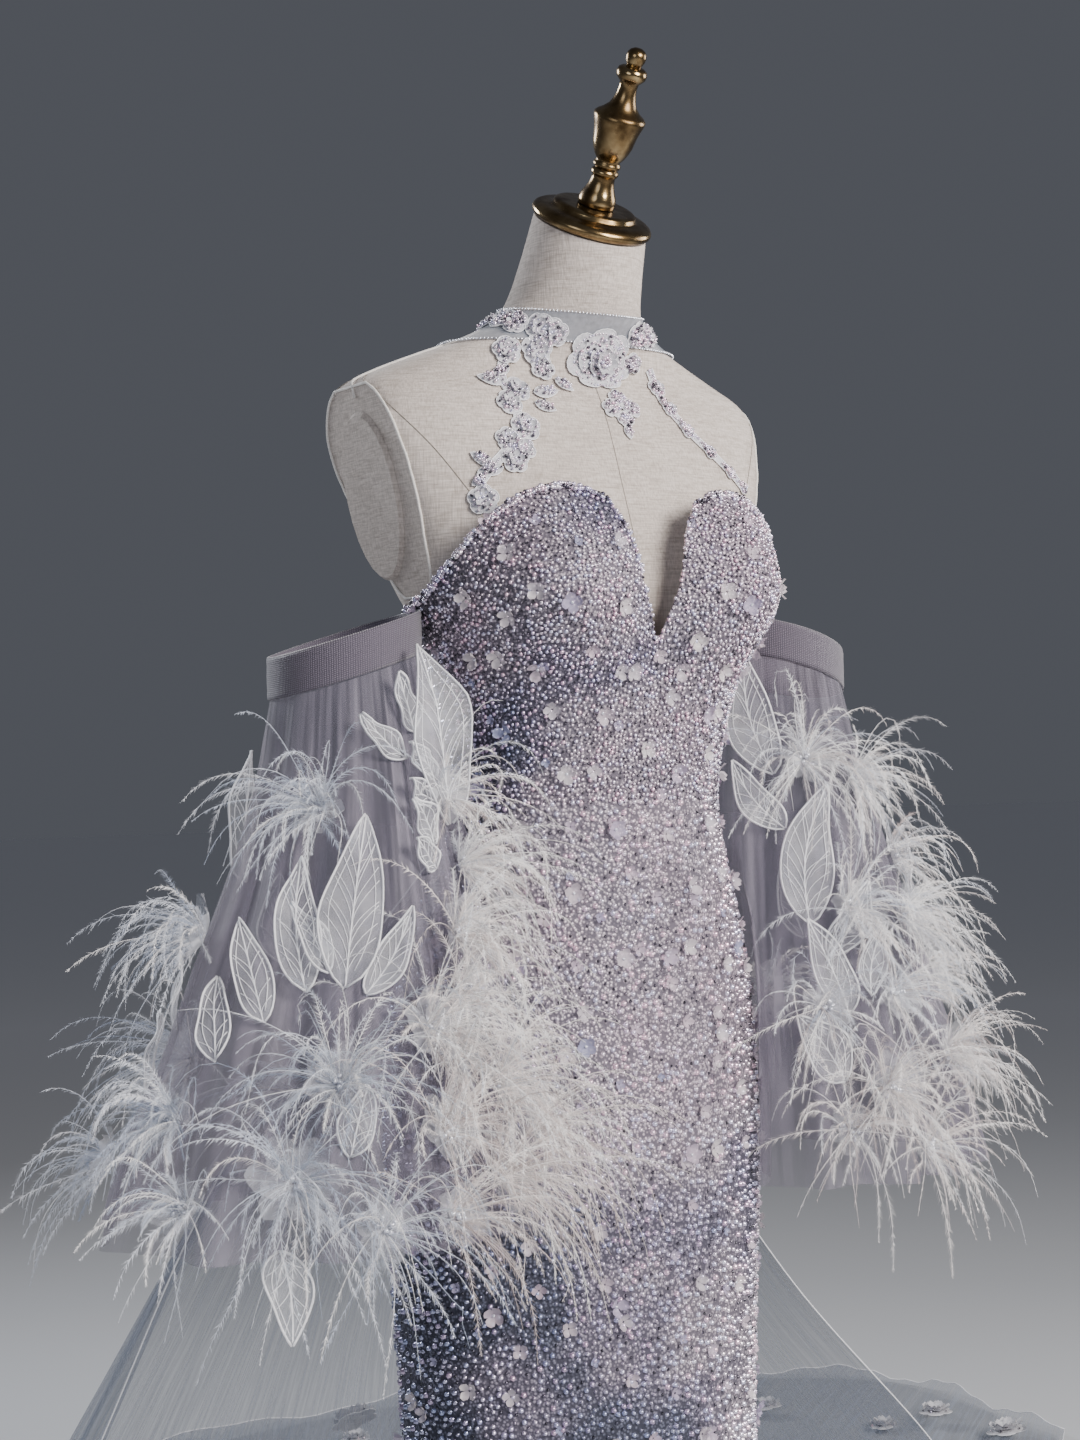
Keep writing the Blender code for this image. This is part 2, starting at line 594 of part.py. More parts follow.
def make_gown():
    """Front with its two cups, back, and the zip tape that closes the centre back."""
    side_gap = 0.0012  # half the angle between front and back, which leaves a seam's gap
    front_degrees = (-90, -82, -74, -65, -56, -47, -38, -30, -22, -15, -9, -4.5, -1.5, 0, 1.5, 4.5, 9,
                     15, 22, 30, 38, 47, 56, 65, 74, 82, 90)
    front_angles = [math.radians(a) for a in front_degrees]
    front_angles[0] += side_gap
    front_angles[-1] -= side_gap
    rows, columns = len(gown_heights(0.0)) - 1, len(front_angles) - 1
    narrow = (11, 12, 13, 14)  # the strips beside the centre front carry no flower
    blossoms = {face: turn for face, turn in scattered_blossoms(rows, columns, 11, 2, 5).items()
                if face % columns not in narrow}
    front = cloth_wall("gown_front", gown_point, front_angles, gown_heights, GOWN_CLOTH, "beadwork",
                       blossoms=blossoms)
    back_angles = [math.radians(a) for a in np.linspace(90, 270, 15)]
    back_angles[0] += side_gap
    back_angles[-1] -= side_gap
    back = cloth_wall("gown_back", gown_point, back_angles, gown_heights, GOWN_CLOTH, "beadwork",
                      blossoms=scattered_blossoms(rows, len(back_angles) - 1, 12, 8, 5))

    zip_half = 0.004
    inner, outer = [], []
    for height in [h for h in gown_heights(math.pi) if h > ZIP_FOOT]:
        normal = outward(gown_point, math.pi, height)
        centre = gown_point(math.pi, height) + normal * (GOWN_CLOTH + 0.0005)
        row = [centre + Vector((x, 0, 0)) for x in (-zip_half, 0.0, zip_half)]
        inner.append(row)
        outer.append([p + normal * 0.0015 for p in row])
    points, faces, outside = grid_wall(inner, outer, closed=False)
    closure = piece_from_faces("gown_back_zip", points, faces + outside, "band_tulle")
    return front, back, closure


def band_point(side, band_x, centre_y, angle, height, radius):
    """A point of an arm band; angle is from the front towards the outer side."""
    out = radius * math.sin(angle)
    away = -radius * math.cos(angle)
    fall = -BAND_SLOPE_OUT * out - BAND_SLOPE_BACK * away
    return Vector((side * (band_x + out), centre_y + away, height + fall))


def seated_band_x(side, centre_y, gown):
    """How far out a band lies when its inner side just clears the gown."""
    near, far = 0.22, 0.30
    for _ in range(20):
        middle = (near + far) / 2
        gap = min(
            gown.find_nearest(band_point(side, middle, centre_y, math.radians(a),
                                         BAND_TOP - BAND_HEIGHT * share, BAND_RADIUS + BAND_CLOTH))[3]
            for a in range(225, 316, 3) for share in (0, 0.2, 0.4, 0.6, 0.8, 1))
        inner = band_point(side, middle, centre_y, math.radians(270), BAND_TOP, BAND_RADIUS + BAND_CLOTH)
        place, normal, _, _ = gown.find_nearest(inner)
        clear = (inner - place).dot(normal) > 0 and gap > BAND_SEAT
        near, far = (near, middle) if clear else (middle, far)
    return far


def bell_point(side, table, band_x, angle, drop):
    """A point of a bell sleeve's inner face, in folds that deepen towards the hem."""
    _, out, centre_y, height, half_out, half_y, fold = read_table(table, drop)
    out += band_x
    wave = math.cos(BELL_FOLDS * angle + 0.9 * math.sin(2 * angle) + 1.5 * drop)
    swell = fold * wave * (0.8 + 0.3 * math.sin(3 * angle + side))
    aside = (half_out + swell) * math.sin(angle)
    away = -(half_y + swell) * math.cos(angle)
    slope = max(0.0, 1 - 2.2 * drop)
    fall = -(BAND_SLOPE_OUT * aside + BAND_SLOPE_BACK * away) * slope
    x, y, z = side * (out + aside), centre_y + away, height + fall
    limit, reach, middle = gown_reach(x, y, z)
    limit += BELL_CLEAR + 0.5 * (fold + swell)
    if reach < limit and drop > 0:
        x, y = x * limit / reach, middle + (y - middle) * limit / reach
    return Vector((x, y, z))


def make_sleeves(gown):
    """Stiff upper-arm bands and the gathered tulle bells that hang from them."""
    made = {}
    for name, (side, table) in SLEEVES.items():
        centre_y = table[0][2]
        band_x = seated_band_x(side, centre_y, gown)
        columns = 32
        inner, outer = [], []
        for share in (0.0, 1.0):
            height = BAND_TOP - BAND_HEIGHT * share
            angles = [side * math.tau * c / columns for c in range(columns)]
            inner.append([band_point(side, band_x, centre_y, a, height, BAND_RADIUS) for a in angles])
            outer.append([band_point(side, band_x, centre_y, a, height, BAND_RADIUS + BAND_CLOTH)
                          for a in angles])
        points, faces, outside = grid_wall(inner, outer, closed=True)
        band = piece_from_faces(f"sleeve_{name}_band", points, faces + outside, "band_tulle")

        angles = [side * math.tau * c / BELL_COLUMNS for c in range(BELL_COLUMNS)]
        grid = [[bell_point(side, table, band_x, a, r / (BELL_ROWS - 1)) for a in angles]
                for r in range(BELL_ROWS)]
        thick = [[None] * BELL_COLUMNS for _ in range(BELL_ROWS)]
        for r in range(BELL_ROWS):
            for c in range(BELL_COLUMNS):
                across = grid[r][(c + 1) % BELL_COLUMNS] - grid[r][c - 1]
                down = grid[min(r + 1, BELL_ROWS - 1)][c] - grid[max(r - 1, 0)][c]
                thick[r][c] = grid[r][c] + down.cross(across).normalized() * TULLE
        points, faces, outside = grid_wall(grid, thick, closed=True)
        bell = piece_from_faces(f"sleeve_{name}_bell", points, faces + outside, "sleeve_tulle")
        made[name] = {"side": side, "table": table, "band_x": band_x, "band": band, "bell": bell}
    return made


def curve_at(stations, t):
    """A point of a smooth curve through evenly spaced stations, t from 0 to 1."""
    rows = [(k / (len(stations) - 1), *station) for k, station in enumerate(stations)]
    return read_table(rows, t)[1:]


def train_point(across, down, gown):
    """A point of the train; across runs from its right edge to its left edge."""
    lines = [curve_at(line, down) for line in TRAIN_LINES.values()]
    x, y, z = curve_at(lines, across)
    wave = 0.5 + 0.5 * math.cos(math.tau * TRAIN_FOLDS * across + 2.0 * down)
    depth = TRAIN_FOLD_DEPTH * min(1.0, 0.1 + 1.6 * down)
    standing = min(1.0, z / 0.20)
    push = depth * wave * standing
    lift = depth * wave * (1 - standing) * 0.8
    around = math.pi * (1.0 - across) + 0.35
    x, y, z = x + push * math.cos(around) * 0.8, y + push * math.sin(around), z + lift
    arm = Vector((x, y, 0)).normalized()
    found = gown.ray_cast(arm * 0.6 + Vector((0, 0, z)), -arm)
    if found[0] is None:
        return Vector((x, y, z))
    limit = 0.6 - found[3] + TRAIN_SEAT + min(0.008, 0.2 * down)
    if z > ZIP_FOOT - 0.03:
        limit += ZIP_STAND * max(0.0, 1 - abs(x) / 0.016)
    reach = max(math.hypot(x, y), limit) if down > 0 else limit
    return Vector((arm.x * reach, arm.y * reach, z))


def make_train(gown):
    """Three gores of sheer tulle from the back waist to the hem on the floor."""
    gores = []
    for k, name in enumerate(TRAIN_GORES):
        start, end = k / len(TRAIN_GORES), (k + 1) / len(TRAIN_GORES)
        lines = np.linspace(start, end, GORE_COLUMNS)
        downs = np.linspace(0, 1, GORE_ROWS)
        grid = [[train_point(a, d, gown) for a in lines] for d in downs]
        for row in grid:
            for edge, beside in ((0, 1), (-1, -2)):
                row[edge] = row[edge] + (row[beside] - row[edge]).normalized() * SEAM_GAP * 0.75
        thick = []
        for r, row in enumerate(grid):
            thick.append([])
            for c, point in enumerate(row):
                across = row[min(c + 1, len(row) - 1)] - row[max(c - 1, 0)]
                below = grid[min(r + 1, len(grid) - 1)][c] - grid[max(r - 1, 0)][c]
                thick[-1].append(point + across.cross(below).normalized() * TULLE)
        points, faces, outside = grid_wall(grid, thick, closed=False)
        gores.append(piece_from_faces(f"train_gore_{name}", points, faces + outside, "train_tulle"))
    return gores


def seat_height(tree, spots, normal, origin):
    """How high above origin, along normal, the highest surface under the spots lies."""
    start = 0.08
    heights = [0.0]
    for spot in spots:
        hit = tree.ray_cast(spot + normal * start, -normal, start + 0.05)
        if hit[0] is not None:
            heights.append((hit[0] - origin).dot(normal))
    return max(heights[1:] or heights)


def settled(points, faces, normal, tree):
    """The points moved down onto what is under them, a seam's gap short of touching."""
    step, drop = 0.0003, 0.0
    halves = [face for face in faces if len(face) == 3]
    for a, b, c, d in [face for face in faces if len(face) == 4]:
        halves += [(a, b, c), (a, c, d), (a, b, d), (b, c, d)]
    while drop < 0.03:
        lowered = [point - normal * (drop + step + SEAM_GAP) for point in points]
        if BVHTree.FromPolygons(lowered, halves).overlap(tree):
            break
        drop += step
    return [point - normal * drop for point in points]


def figure_seat(angle, height):
    """A place on the torso with its outward, upward and sideways directions."""
    angle = math.radians(angle)
    normal = outward(figure_point, angle, height)
    up = (Vector((0, 0, 1)) - normal * normal.z).normalized()
    return figure_point(angle, height), normal, up, up.cross(normal)


def lace_flower(name, seat, tree, radius, tall, lobes, rise):
    """A layered, scalloped flower that sits just off what is under it."""
    place, normal, up, aside = seat
    layers = (  # radius and height as shares
        (0.94, 0.0), (1.0, 0.35), (0.78, 0.62), (0.60, 0.52), (0.54, 0.88), (0.32, 0.95), (0.20, 0.70))
    columns = lobes * 3
    bearings = [math.tau * c / columns for c in range(columns)]

    def arm(bearing, share):
        scallop = 1 + 0.13 * math.cos(lobes * bearing) * (1 if share > 0.7 else 0.5)
        reach = radius * share * scallop
        return aside * (reach * math.cos(bearing)) + up * (reach * math.sin(bearing) * tall)

    spots = [place] + [place + arm(b, share) for b in bearings for share in (0.5, 1.0)]
    foot = place + normal * (seat_height(tree, spots, normal, place) + 0.002)
    points = [foot + arm(b, share) + normal * rise * lift for share, lift in layers for b in bearings]
    points += [foot, foot + normal * rise * 0.85]
    bottom, top = len(points) - 2, len(points) - 1
    faces = []
    for c in range(columns):
        n = (c + 1) % columns
        faces.append((bottom, n, c))
        for r in range(len(layers) - 1):
            a, b = r * columns + c, r * columns + n
            faces.append((a, b, b + columns, a + columns))
        last = (len(layers) - 1) * columns
        faces.append((last + c, last + n, top))
    return piece_from_faces(name, settled(points, faces, normal, tree), faces, "beaded_lace")


def lace_strap(name, route, half_width, tree):
    """A scalloped lace strap that lies along a route of (angle, height) on the torso."""
    stations = 15
    centres = []
    for k in range(stations):
        angle, height = curve_at(route, k / (stations - 1))
        centres.append(figure_seat(angle, height)[:2])
    inner, outer = [], []
    for k, (place, normal) in enumerate(centres):
        along = (centres[min(k + 1, stations - 1)][0] - centres[max(k - 1, 0)][0]).normalized()
        across = normal.cross(along)
        width = half_width * (1.0 + 0.3 * math.cos(math.pi * k))
        row = []
        for share in (-1.0, 0.0, 1.0):
            spot = place + across * width * share
            spots = [spot + along * step + across * other for step in (-0.006, 0.0, 0.006)
                     for other in (-0.003, 0.0, 0.003)]
            height = seat_height(tree, spots, normal, spot)
            row.append(spot + normal * (height + LACE_SEAT))
        inner.append(row)
        outer.append([p + normal * (LACE + (0.0014 if c == 1 else 0)) for c, p in enumerate(row)])
    points, faces, outside = grid_wall(inner, outer, closed=False)
    return piece_from_faces(name, points, faces + outside, "beaded_lace")


def make_collar(torso):
    """Sheer neck band, the rose at its front, the drop below it, and the two lace straps."""
    tree = tree_of(torso)
    columns = 32

    def band_surface(angle, height):
        place = figure_point(angle, height)
        normal = outward(figure_point, angle, height)
        return place + normal * (seat_height(tree, [place], normal, place) + BAND_LIFT)

    band = cloth_wall("collar_band", band_surface, [math.tau * c / columns for c in range(columns)],
                      lambda angle: COLLAR_HEIGHTS, LACE, "collar_tulle", closed=True)
    under = tree_of(torso, band)
    made = [band]
    for name, seat, radius, tall, lobes, rise in COLLAR_FLOWERS:
        made.append(lace_flower(name, figure_seat(*seat), under, radius, tall, lobes, rise))
    made.append(lace_strap("collar_strap_right", STRAP_RIGHT, 0.0100, tree))
    made.append(lace_strap("collar_strap_left", STRAP_LEFT, 0.0065, tree))
    return made


def sleeve_seat(sleeve, angle, drop):
    """A place on a bell with its outward, upward and sideways directions, folds smoothed out."""
    angle = math.radians(angle)
    fixed = (sleeve["side"], sleeve["table"], sleeve["band_x"])
    wide, tall = math.radians(16), 0.10
    low, high = min(drop + tall, 1.0), max(drop - tall, 0.0)
    across = bell_point(*fixed, angle + wide, drop) - bell_point(*fixed, angle - wide, drop)
    down = bell_point(*fixed, angle, low) - bell_point(*fixed, angle, high)
    normal = down.cross(across).normalized() * sleeve["side"]
    up = (-down - normal * -down.dot(normal)).normalized()
    return bell_point(*fixed, angle, drop), normal, up, up.cross(normal)


def make_leaf(name, sleeve, tree, angle, drop, length, width, lean):
    """An organza leaf that stands up the bell from its stalk, its tip lifting off."""
    place, normal, up, aside = sleeve_seat(sleeve, angle, drop)
    tip = math.radians(lean)
    along = up * math.cos(tip) + aside * math.sin(tip)
    across = along.cross(normal)
    rows = 6
    shares = [k / (rows - 1) for k in range(rows)]
    halves = [width / 2 * max(0.06, math.sin(math.pi * s ** 0.85) ** 0.8) for s in shares]
    floors = []
    for s, half in zip(shares, halves):
        centre = place + along * length * s
        spots = [centre + across * half * step / 3 for step in range(-3, 4)]
        floors.append(seat_height(tree, spots, normal, place))
    inner, outer = [], []
    for k, (s, half) in enumerate(zip(shares, halves)):
        floor = max(floors[max(k - 1, 0):k + 2])
        height = floor + 0.002 + 0.012 * s ** 2
        centre = place + along * length * s + normal * height
        row = [centre + across * half * step + normal * half * 0.18 * abs(step) for step in (-1, 0, 1)]
        inner.append(row)
        outer.append([p + normal * ORGANZA for p in row])
    points, faces, outside = grid_wall(inner, outer, closed=False)
    points = settled(points, faces + outside, normal, tree)
    return piece_from_faces(name, points, faces + outside, "organza")


def make_rosette(seat, tree, petal):
    """Points and faces of a petal rosette on a bell, and the faces that its strands grow from."""
    place, normal, up, aside = seat

    def arm(turn, reach):
        bearing = math.tau * turn / STRANDS
        return (aside * math.cos(bearing) + up * math.sin(bearing)) * reach

    def ring_of(centre, shift, reach, rise=0.0):
        return [centre + arm(k - shift, reach) + normal * rise for k in range(STRANDS)]

    spots = [place] + ring_of(place, 0.5, petal * 0.5)
    spots += ring_of(place, 0.0, petal) + ring_of(place, 0.5, petal)
    foot = place + normal * (seat_height(tree, spots, normal, place) + 0.002)
    top = foot + normal * PETAL_THICK
    points = [top, foot]
    points += ring_of(top, 0.0, ROOT_RINGS[0]) + ring_of(top, 0.5, ROOT_RINGS[1])
    points += [top + arm(k, petal * (0.86 + 0.14 * (k % 2))) + normal * 0.004 for k in range(STRANDS)]
    points += ring_of(foot, 0.5, ROOT_RINGS[1])
    points += [foot + arm(k, petal * (0.86 + 0.14 * (k % 2))) + normal * 0.004 for k in range(STRANDS)]
    faces, roots = [], []
    for k in range(STRANDS):
        n = (k + 1) % STRANDS
        inner, ring, tips, low_ring, low_tips = (2 + level * STRANDS for level in range(5))
        faces.append((0, inner + k, inner + n))
        faces.append((inner + k, ring + n, inner + n))
        faces.append((ring + k, tips + k, ring + n))
        faces.append((ring + k, low_ring + k, low_tips + k, tips + k))
        faces.append((tips + k, low_tips + k, low_ring + n, ring + n))
        faces.append((low_ring + k, 1, low_ring + n, low_tips + k))
        roots.append((inner + k, ring + k, ring + n))
    points = settled(points, faces + roots, normal, tree)
    return {"points": points, "faces": faces, "roots": roots, "normal": normal,
            "arms": [arm(k, 0.9) for k in range(STRANDS)],
            "tree": BVHTree.FromPolygons(points, faces + roots)}


def strand_clear(path, trees, own_tree, others, own):
    """True when a strand's path keeps off every piece and every other strand."""
    for k in range(1, len(path)):
        step = path[k] - path[k - 1]
        for tree in trees:
            if tree.ray_cast(path[k - 1], step.normalized(), step.length)[0] is not None:
                return False
            if tree.find_nearest(path[k], STRAND_CLEAR)[0] is not None:
                return False
        if k > 3 and own_tree.find_nearest(path[k], STRAND_CLEAR)[0] is not None:
            return False
    for kept, start, gap in ((others, 0, STRAND_CLEAR), (own, 4, STRAND_CLEAR * 0.6)):
        if kept:
            stack = np.array([p[:] for strand in kept for p in strand[start:]])
            mine = np.array([p[:] for p in path[start:]])
            if np.linalg.norm(stack[None] - mine[:, None], axis=2).min() < gap:
                return False
    return True


def grown_strand(rng, root, normal, radial, length, trees, own_tree, others, own):
    """A drooping path from a root that clears everything, or none where there is no room."""
    for attempt in range(90):
        jitter = 0.25 + attempt * 0.015
        heading = normal * rng.uniform(0.45, 0.8 + attempt * 0.01) + radial
        heading += Vector(rng.uniform(-jitter, jitter, 3).tolist())
        heading.normalize()
        reach = length * rng.uniform(0.8, 1.1) * 0.985 ** attempt
        droop = Vector((0, 0, rng.uniform(0.55, 1.15)))
        bends = [root + (heading * s - droop * s * s) * reach for s in (0, 1 / 3, 2 / 3, 1)]
        path = [bends[k * 3 // STRAND_SAMPLES].lerp(bends[k * 3 // STRAND_SAMPLES + 1],
                                                    k * 3 / STRAND_SAMPLES % 1)
                for k in range(STRAND_SAMPLES)] + [bends[3]]
        if strand_clear(path, trees, own_tree, others, own):
            return path
    return None


def add_strand(points, faces, base, path):
    """A three-sided strand that grows from a face and tapers along a path to its tip."""
    root = path[0]
    for bend, thick in enumerate(STRAND_RADII, 1):
        station = bend * STRAND_SAMPLES // 3
        at, along = path[station], (path[station + 1] - path[station - 1]).normalized()
        first = points[base[0]] - root
        first = (first - along * first.dot(along)).normalized()
        turn = along.cross(first)
        flip = 1 if turn.dot(points[base[1]] - root) > 0 else -1
        level = []
        for corner in range(3):
            bearing = flip * corner * math.tau / 3
            level.append(len(points))
            points.append(at + (first * math.cos(bearing) + turn * math.sin(bearing)) * thick)
        for corner in range(3):
            after = (corner + 1) % 3
            faces.append((base[corner], base[after], level[after], level[corner]))
        root, base = at, level
    tip = len(points)
    points.append(path[-1])
    for corner in range(3):
        faces.append((base[corner], base[(corner + 1) % 3], tip))


def make_trimming(sleeves, solid_trees):
    """Leaves first, then the rosettes over them, then the feather strands, each clear of the rest."""
    trees, rosettes, made = list(solid_trees), [], []
    for name, sleeve in sleeves.items():
        carriers = [sleeve["bell"]]
        for k, leaf in enumerate(LEAVES[name]):
            carriers.append(make_leaf(f"leaf_{name}_{k + 1:02d}", sleeve, tree_of(*carriers), *leaf))
            trees.append(tree_of(carriers[-1]))
        under = tree_of(*carriers)
        made += carriers[1:]
        for k, (angle, drop, length, petal) in enumerate(CLUSTERS[name]):
            rosette = make_rosette(sleeve_seat(sleeve, angle, drop), under, petal)
            rosettes.append((f"plume_{name}_{k + 1:02d}", rosette, length))
    others = []
    for k, (name, rosette, length) in enumerate(rosettes):
        rng = np.random.default_rng(40 + k)
        beside = trees + [other["tree"] for _, other, _ in rosettes if other is not rosette]
        points, faces, own = list(rosette["points"]), list(rosette["faces"]), []
        for root, arm in zip(rosette["roots"], rosette["arms"]):
            middle = sum((points[i] for i in root), Vector()) / 3
            path = grown_strand(rng, middle, rosette["normal"], arm, length, beside, rosette["tree"],
                                others, own)
            if path is None:
                faces.append(root)
                continue
            own.append(path)
            add_strand(points, faces, root, path)
        others += own
        made.append(piece_from_faces(name, points, faces, "feather"))
    return made


COLLECTION = cleared_scene()
TORSO = make_form()
GOWN_WALLS = make_gown()
SLEEVE_WALLS = make_sleeves(tree_of(*GOWN_WALLS[:2]))
TRAIN_WALLS = make_train(tree_of(*GOWN_WALLS[:2]))
COLLAR = make_collar(TORSO)
SOLIDS = [TORSO, *GOWN_WALLS, *TRAIN_WALLS, *COLLAR]
SOLIDS += [sleeve[part] for sleeve in SLEEVE_WALLS.values() for part in ("band", "bell")]
TRIMMING = make_trimming(SLEEVE_WALLS, [tree_of(obj) for obj in SOLIDS])
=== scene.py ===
"""A beaded evening gown with a lace halter collar, feathered bell sleeves and a sheer train, worn by
a linen dress form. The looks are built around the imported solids, in the same frame, in metres.
"""

import math

import bmesh
import bpy
import numpy as np
from mathutils import Matrix, Vector
from mathutils.bvhtree import BVHTree


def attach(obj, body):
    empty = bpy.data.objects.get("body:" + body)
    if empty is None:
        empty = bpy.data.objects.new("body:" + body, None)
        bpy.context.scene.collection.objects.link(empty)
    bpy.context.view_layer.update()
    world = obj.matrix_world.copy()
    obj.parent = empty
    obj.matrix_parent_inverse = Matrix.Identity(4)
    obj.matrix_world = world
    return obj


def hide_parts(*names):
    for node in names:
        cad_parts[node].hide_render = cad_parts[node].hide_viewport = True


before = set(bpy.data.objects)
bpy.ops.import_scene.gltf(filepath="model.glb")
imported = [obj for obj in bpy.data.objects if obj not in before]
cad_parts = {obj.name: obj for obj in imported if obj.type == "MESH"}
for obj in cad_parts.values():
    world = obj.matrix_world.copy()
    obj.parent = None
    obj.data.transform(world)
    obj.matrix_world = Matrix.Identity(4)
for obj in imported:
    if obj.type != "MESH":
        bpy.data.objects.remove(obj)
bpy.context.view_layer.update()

# Camera. It stands to the front and to the form's right, level with the bust, looks up very
# slightly and is rolled a little, as the photograph was taken. The image is 1080 by 1440.
camera_turn, camera_pitch, camera_roll = math.radians(32.2), math.radians(1.3), math.radians(-1.4)
camera_distance, camera_aside, camera_height = 2.22, -0.041, 1.045
camera_place = Vector((
    -math.sin(camera_turn) * camera_distance + camera_aside * math.cos(camera_turn),
    -math.cos(camera_turn) * camera_distance - camera_aside * math.sin(camera_turn),
    camera_height,
))
view_ahead = Vector((
    math.sin(camera_turn) * math.cos(camera_pitch),
    math.cos(camera_turn) * math.cos(camera_pitch),
    math.sin(camera_pitch),
))
view_right = Vector((math.cos(camera_turn), -math.sin(camera_turn), 0))
view_up = view_right.cross(view_ahead)
rolled_right = math.cos(camera_roll) * view_right + math.sin(camera_roll) * view_up
rolled_up = math.cos(camera_roll) * view_up - math.sin(camera_roll) * view_right
camera = bpy.data.objects.new("camera", bpy.data.cameras.new("camera"))
camera.matrix_world = Matrix.Translation(camera_place) @ Matrix(
    (rolled_right, rolled_up, -view_ahead)).transposed().to_4x4()
camera.data.sensor_fit = "VERTICAL"
camera.data.sensor_height = 36.0
camera.data.lens = 60.0
bpy.context.scene.collection.objects.link(camera)
bpy.context.scene.camera = camera


# Studio. A pale seamless floor that grows paler with its distance from the form, so that no horizon
# shows, a soft key light ahead of the form on the viewer's right, a weak fill on the viewer's left,
# soft lights behind and beside for the feathers, and an even grey surround.
def new_finish(name):
    """A material with its node tree and its Principled shader."""
    material = bpy.data.materials.new(name)
    material.use_nodes = True
    return material, material.node_tree, material.node_tree.nodes["Principled BSDF"]


def put_node(tree, kind, inputs=None, **settings):
    """A node with its settings, and with each input set to a value or linked to a socket."""
    made = tree.nodes.new(kind)
    for key, value in settings.items():
        setattr(made, key, value)
    for key, value in (inputs or {}).items():
        if isinstance(value, bpy.types.NodeSocket):
            tree.links.new(value, made.inputs[key])
        else:
            made.inputs[key].default_value = value
    return made


def ramp_of(tree, factor, *stops):
    """A colour ramp from (position, colour) stops; a single number is a level of grey."""
    made = put_node(tree, "ShaderNodeValToRGB", {"Fac": factor})
    elements = made.color_ramp.elements
    while len(elements) < len(stops):
        elements.new(0.5)
    for element, (position, colour) in zip(elements, stops):
        element.position = position
        element.color = (*(colour if isinstance(colour, tuple) else [colour] * 3), 1.0)
    return made.outputs["Color"]


def calculated(tree, operation, first, second=0.0, third=0.0):
    """One step of arithmetic on numbers and sockets."""
    made = put_node(tree, "ShaderNodeMath", {0: first, 1: second, 2: third}, operation=operation)
    return made.outputs[0]


def feed(tree, shader, **inputs):
    """Sets or links the shader's inputs; underscores in a name stand for spaces."""
    for key, value in inputs.items():
        socket = shader.inputs[key.replace("_", " ")]
        if isinstance(value, bpy.types.NodeSocket):
            tree.links.new(value, socket)
        else:
            socket.default_value = value


floor_finish, tree, shader = new_finish("pale_floor")
spot = put_node(tree, "ShaderNodeTexCoord").outputs["Object"]
distance = put_node(tree, "ShaderNodeVectorMath", {0: spot}, operation="LENGTH").outputs["Value"]
ten_metres = calculated(tree, "MULTIPLY", distance, 0.1)
feed(tree, shader, Roughness=0.55, Specular_IOR_Level=0.2,
     Base_Color=ramp_of(tree, ten_metres, (0.28, (0.58, 0.59, 0.61)), (0.85, (0.98, 0.98, 0.99))))
floor_side = 90.0
bpy.ops.mesh.primitive_plane_add(size=floor_side, location=(0, 0, 0))
floor = bpy.context.object
floor.name = "floor"
floor.data.materials.append(floor_finish)

lit_middle = Vector((0, 0, 1.05))
for name, place, size, power, colour in (
        ("key_light", (0.75, -2.9, 2.35), 1.5, 185.0, (1.0, 0.955, 0.92)),
        ("fill_light", (-2.3, -1.9, 1.8), 1.5, 17.0, (0.84, 0.89, 1.0)),
        ("back_light", (-0.9, 2.5, 2.5), 1.3, 70.0, (0.92, 0.95, 1.0)),
        ("side_light", (2.6, -0.4, 2.0), 1.3, 40.0, (1.0, 0.98, 0.96))):
    lamp = bpy.data.objects.new(name, bpy.data.lights.new(name, "AREA"))
    lamp.data.shape = "DISK"
    lamp.data.size = size
    lamp.data.energy = power
    lamp.data.color = colour
    lamp.location = place
    lamp.rotation_euler = (lit_middle - Vector(place)).to_track_quat("-Z", "Y").to_euler()
    bpy.context.scene.collection.objects.link(lamp)
surround = bpy.data.worlds.new("studio_surround")
surround.use_nodes = True
backdrop = surround.node_tree.nodes["Background"].inputs
backdrop["Color"].default_value = (0.085, 0.090, 0.105, 1)
backdrop["Strength"].default_value = 1.0
bpy.context.scene.world = surround

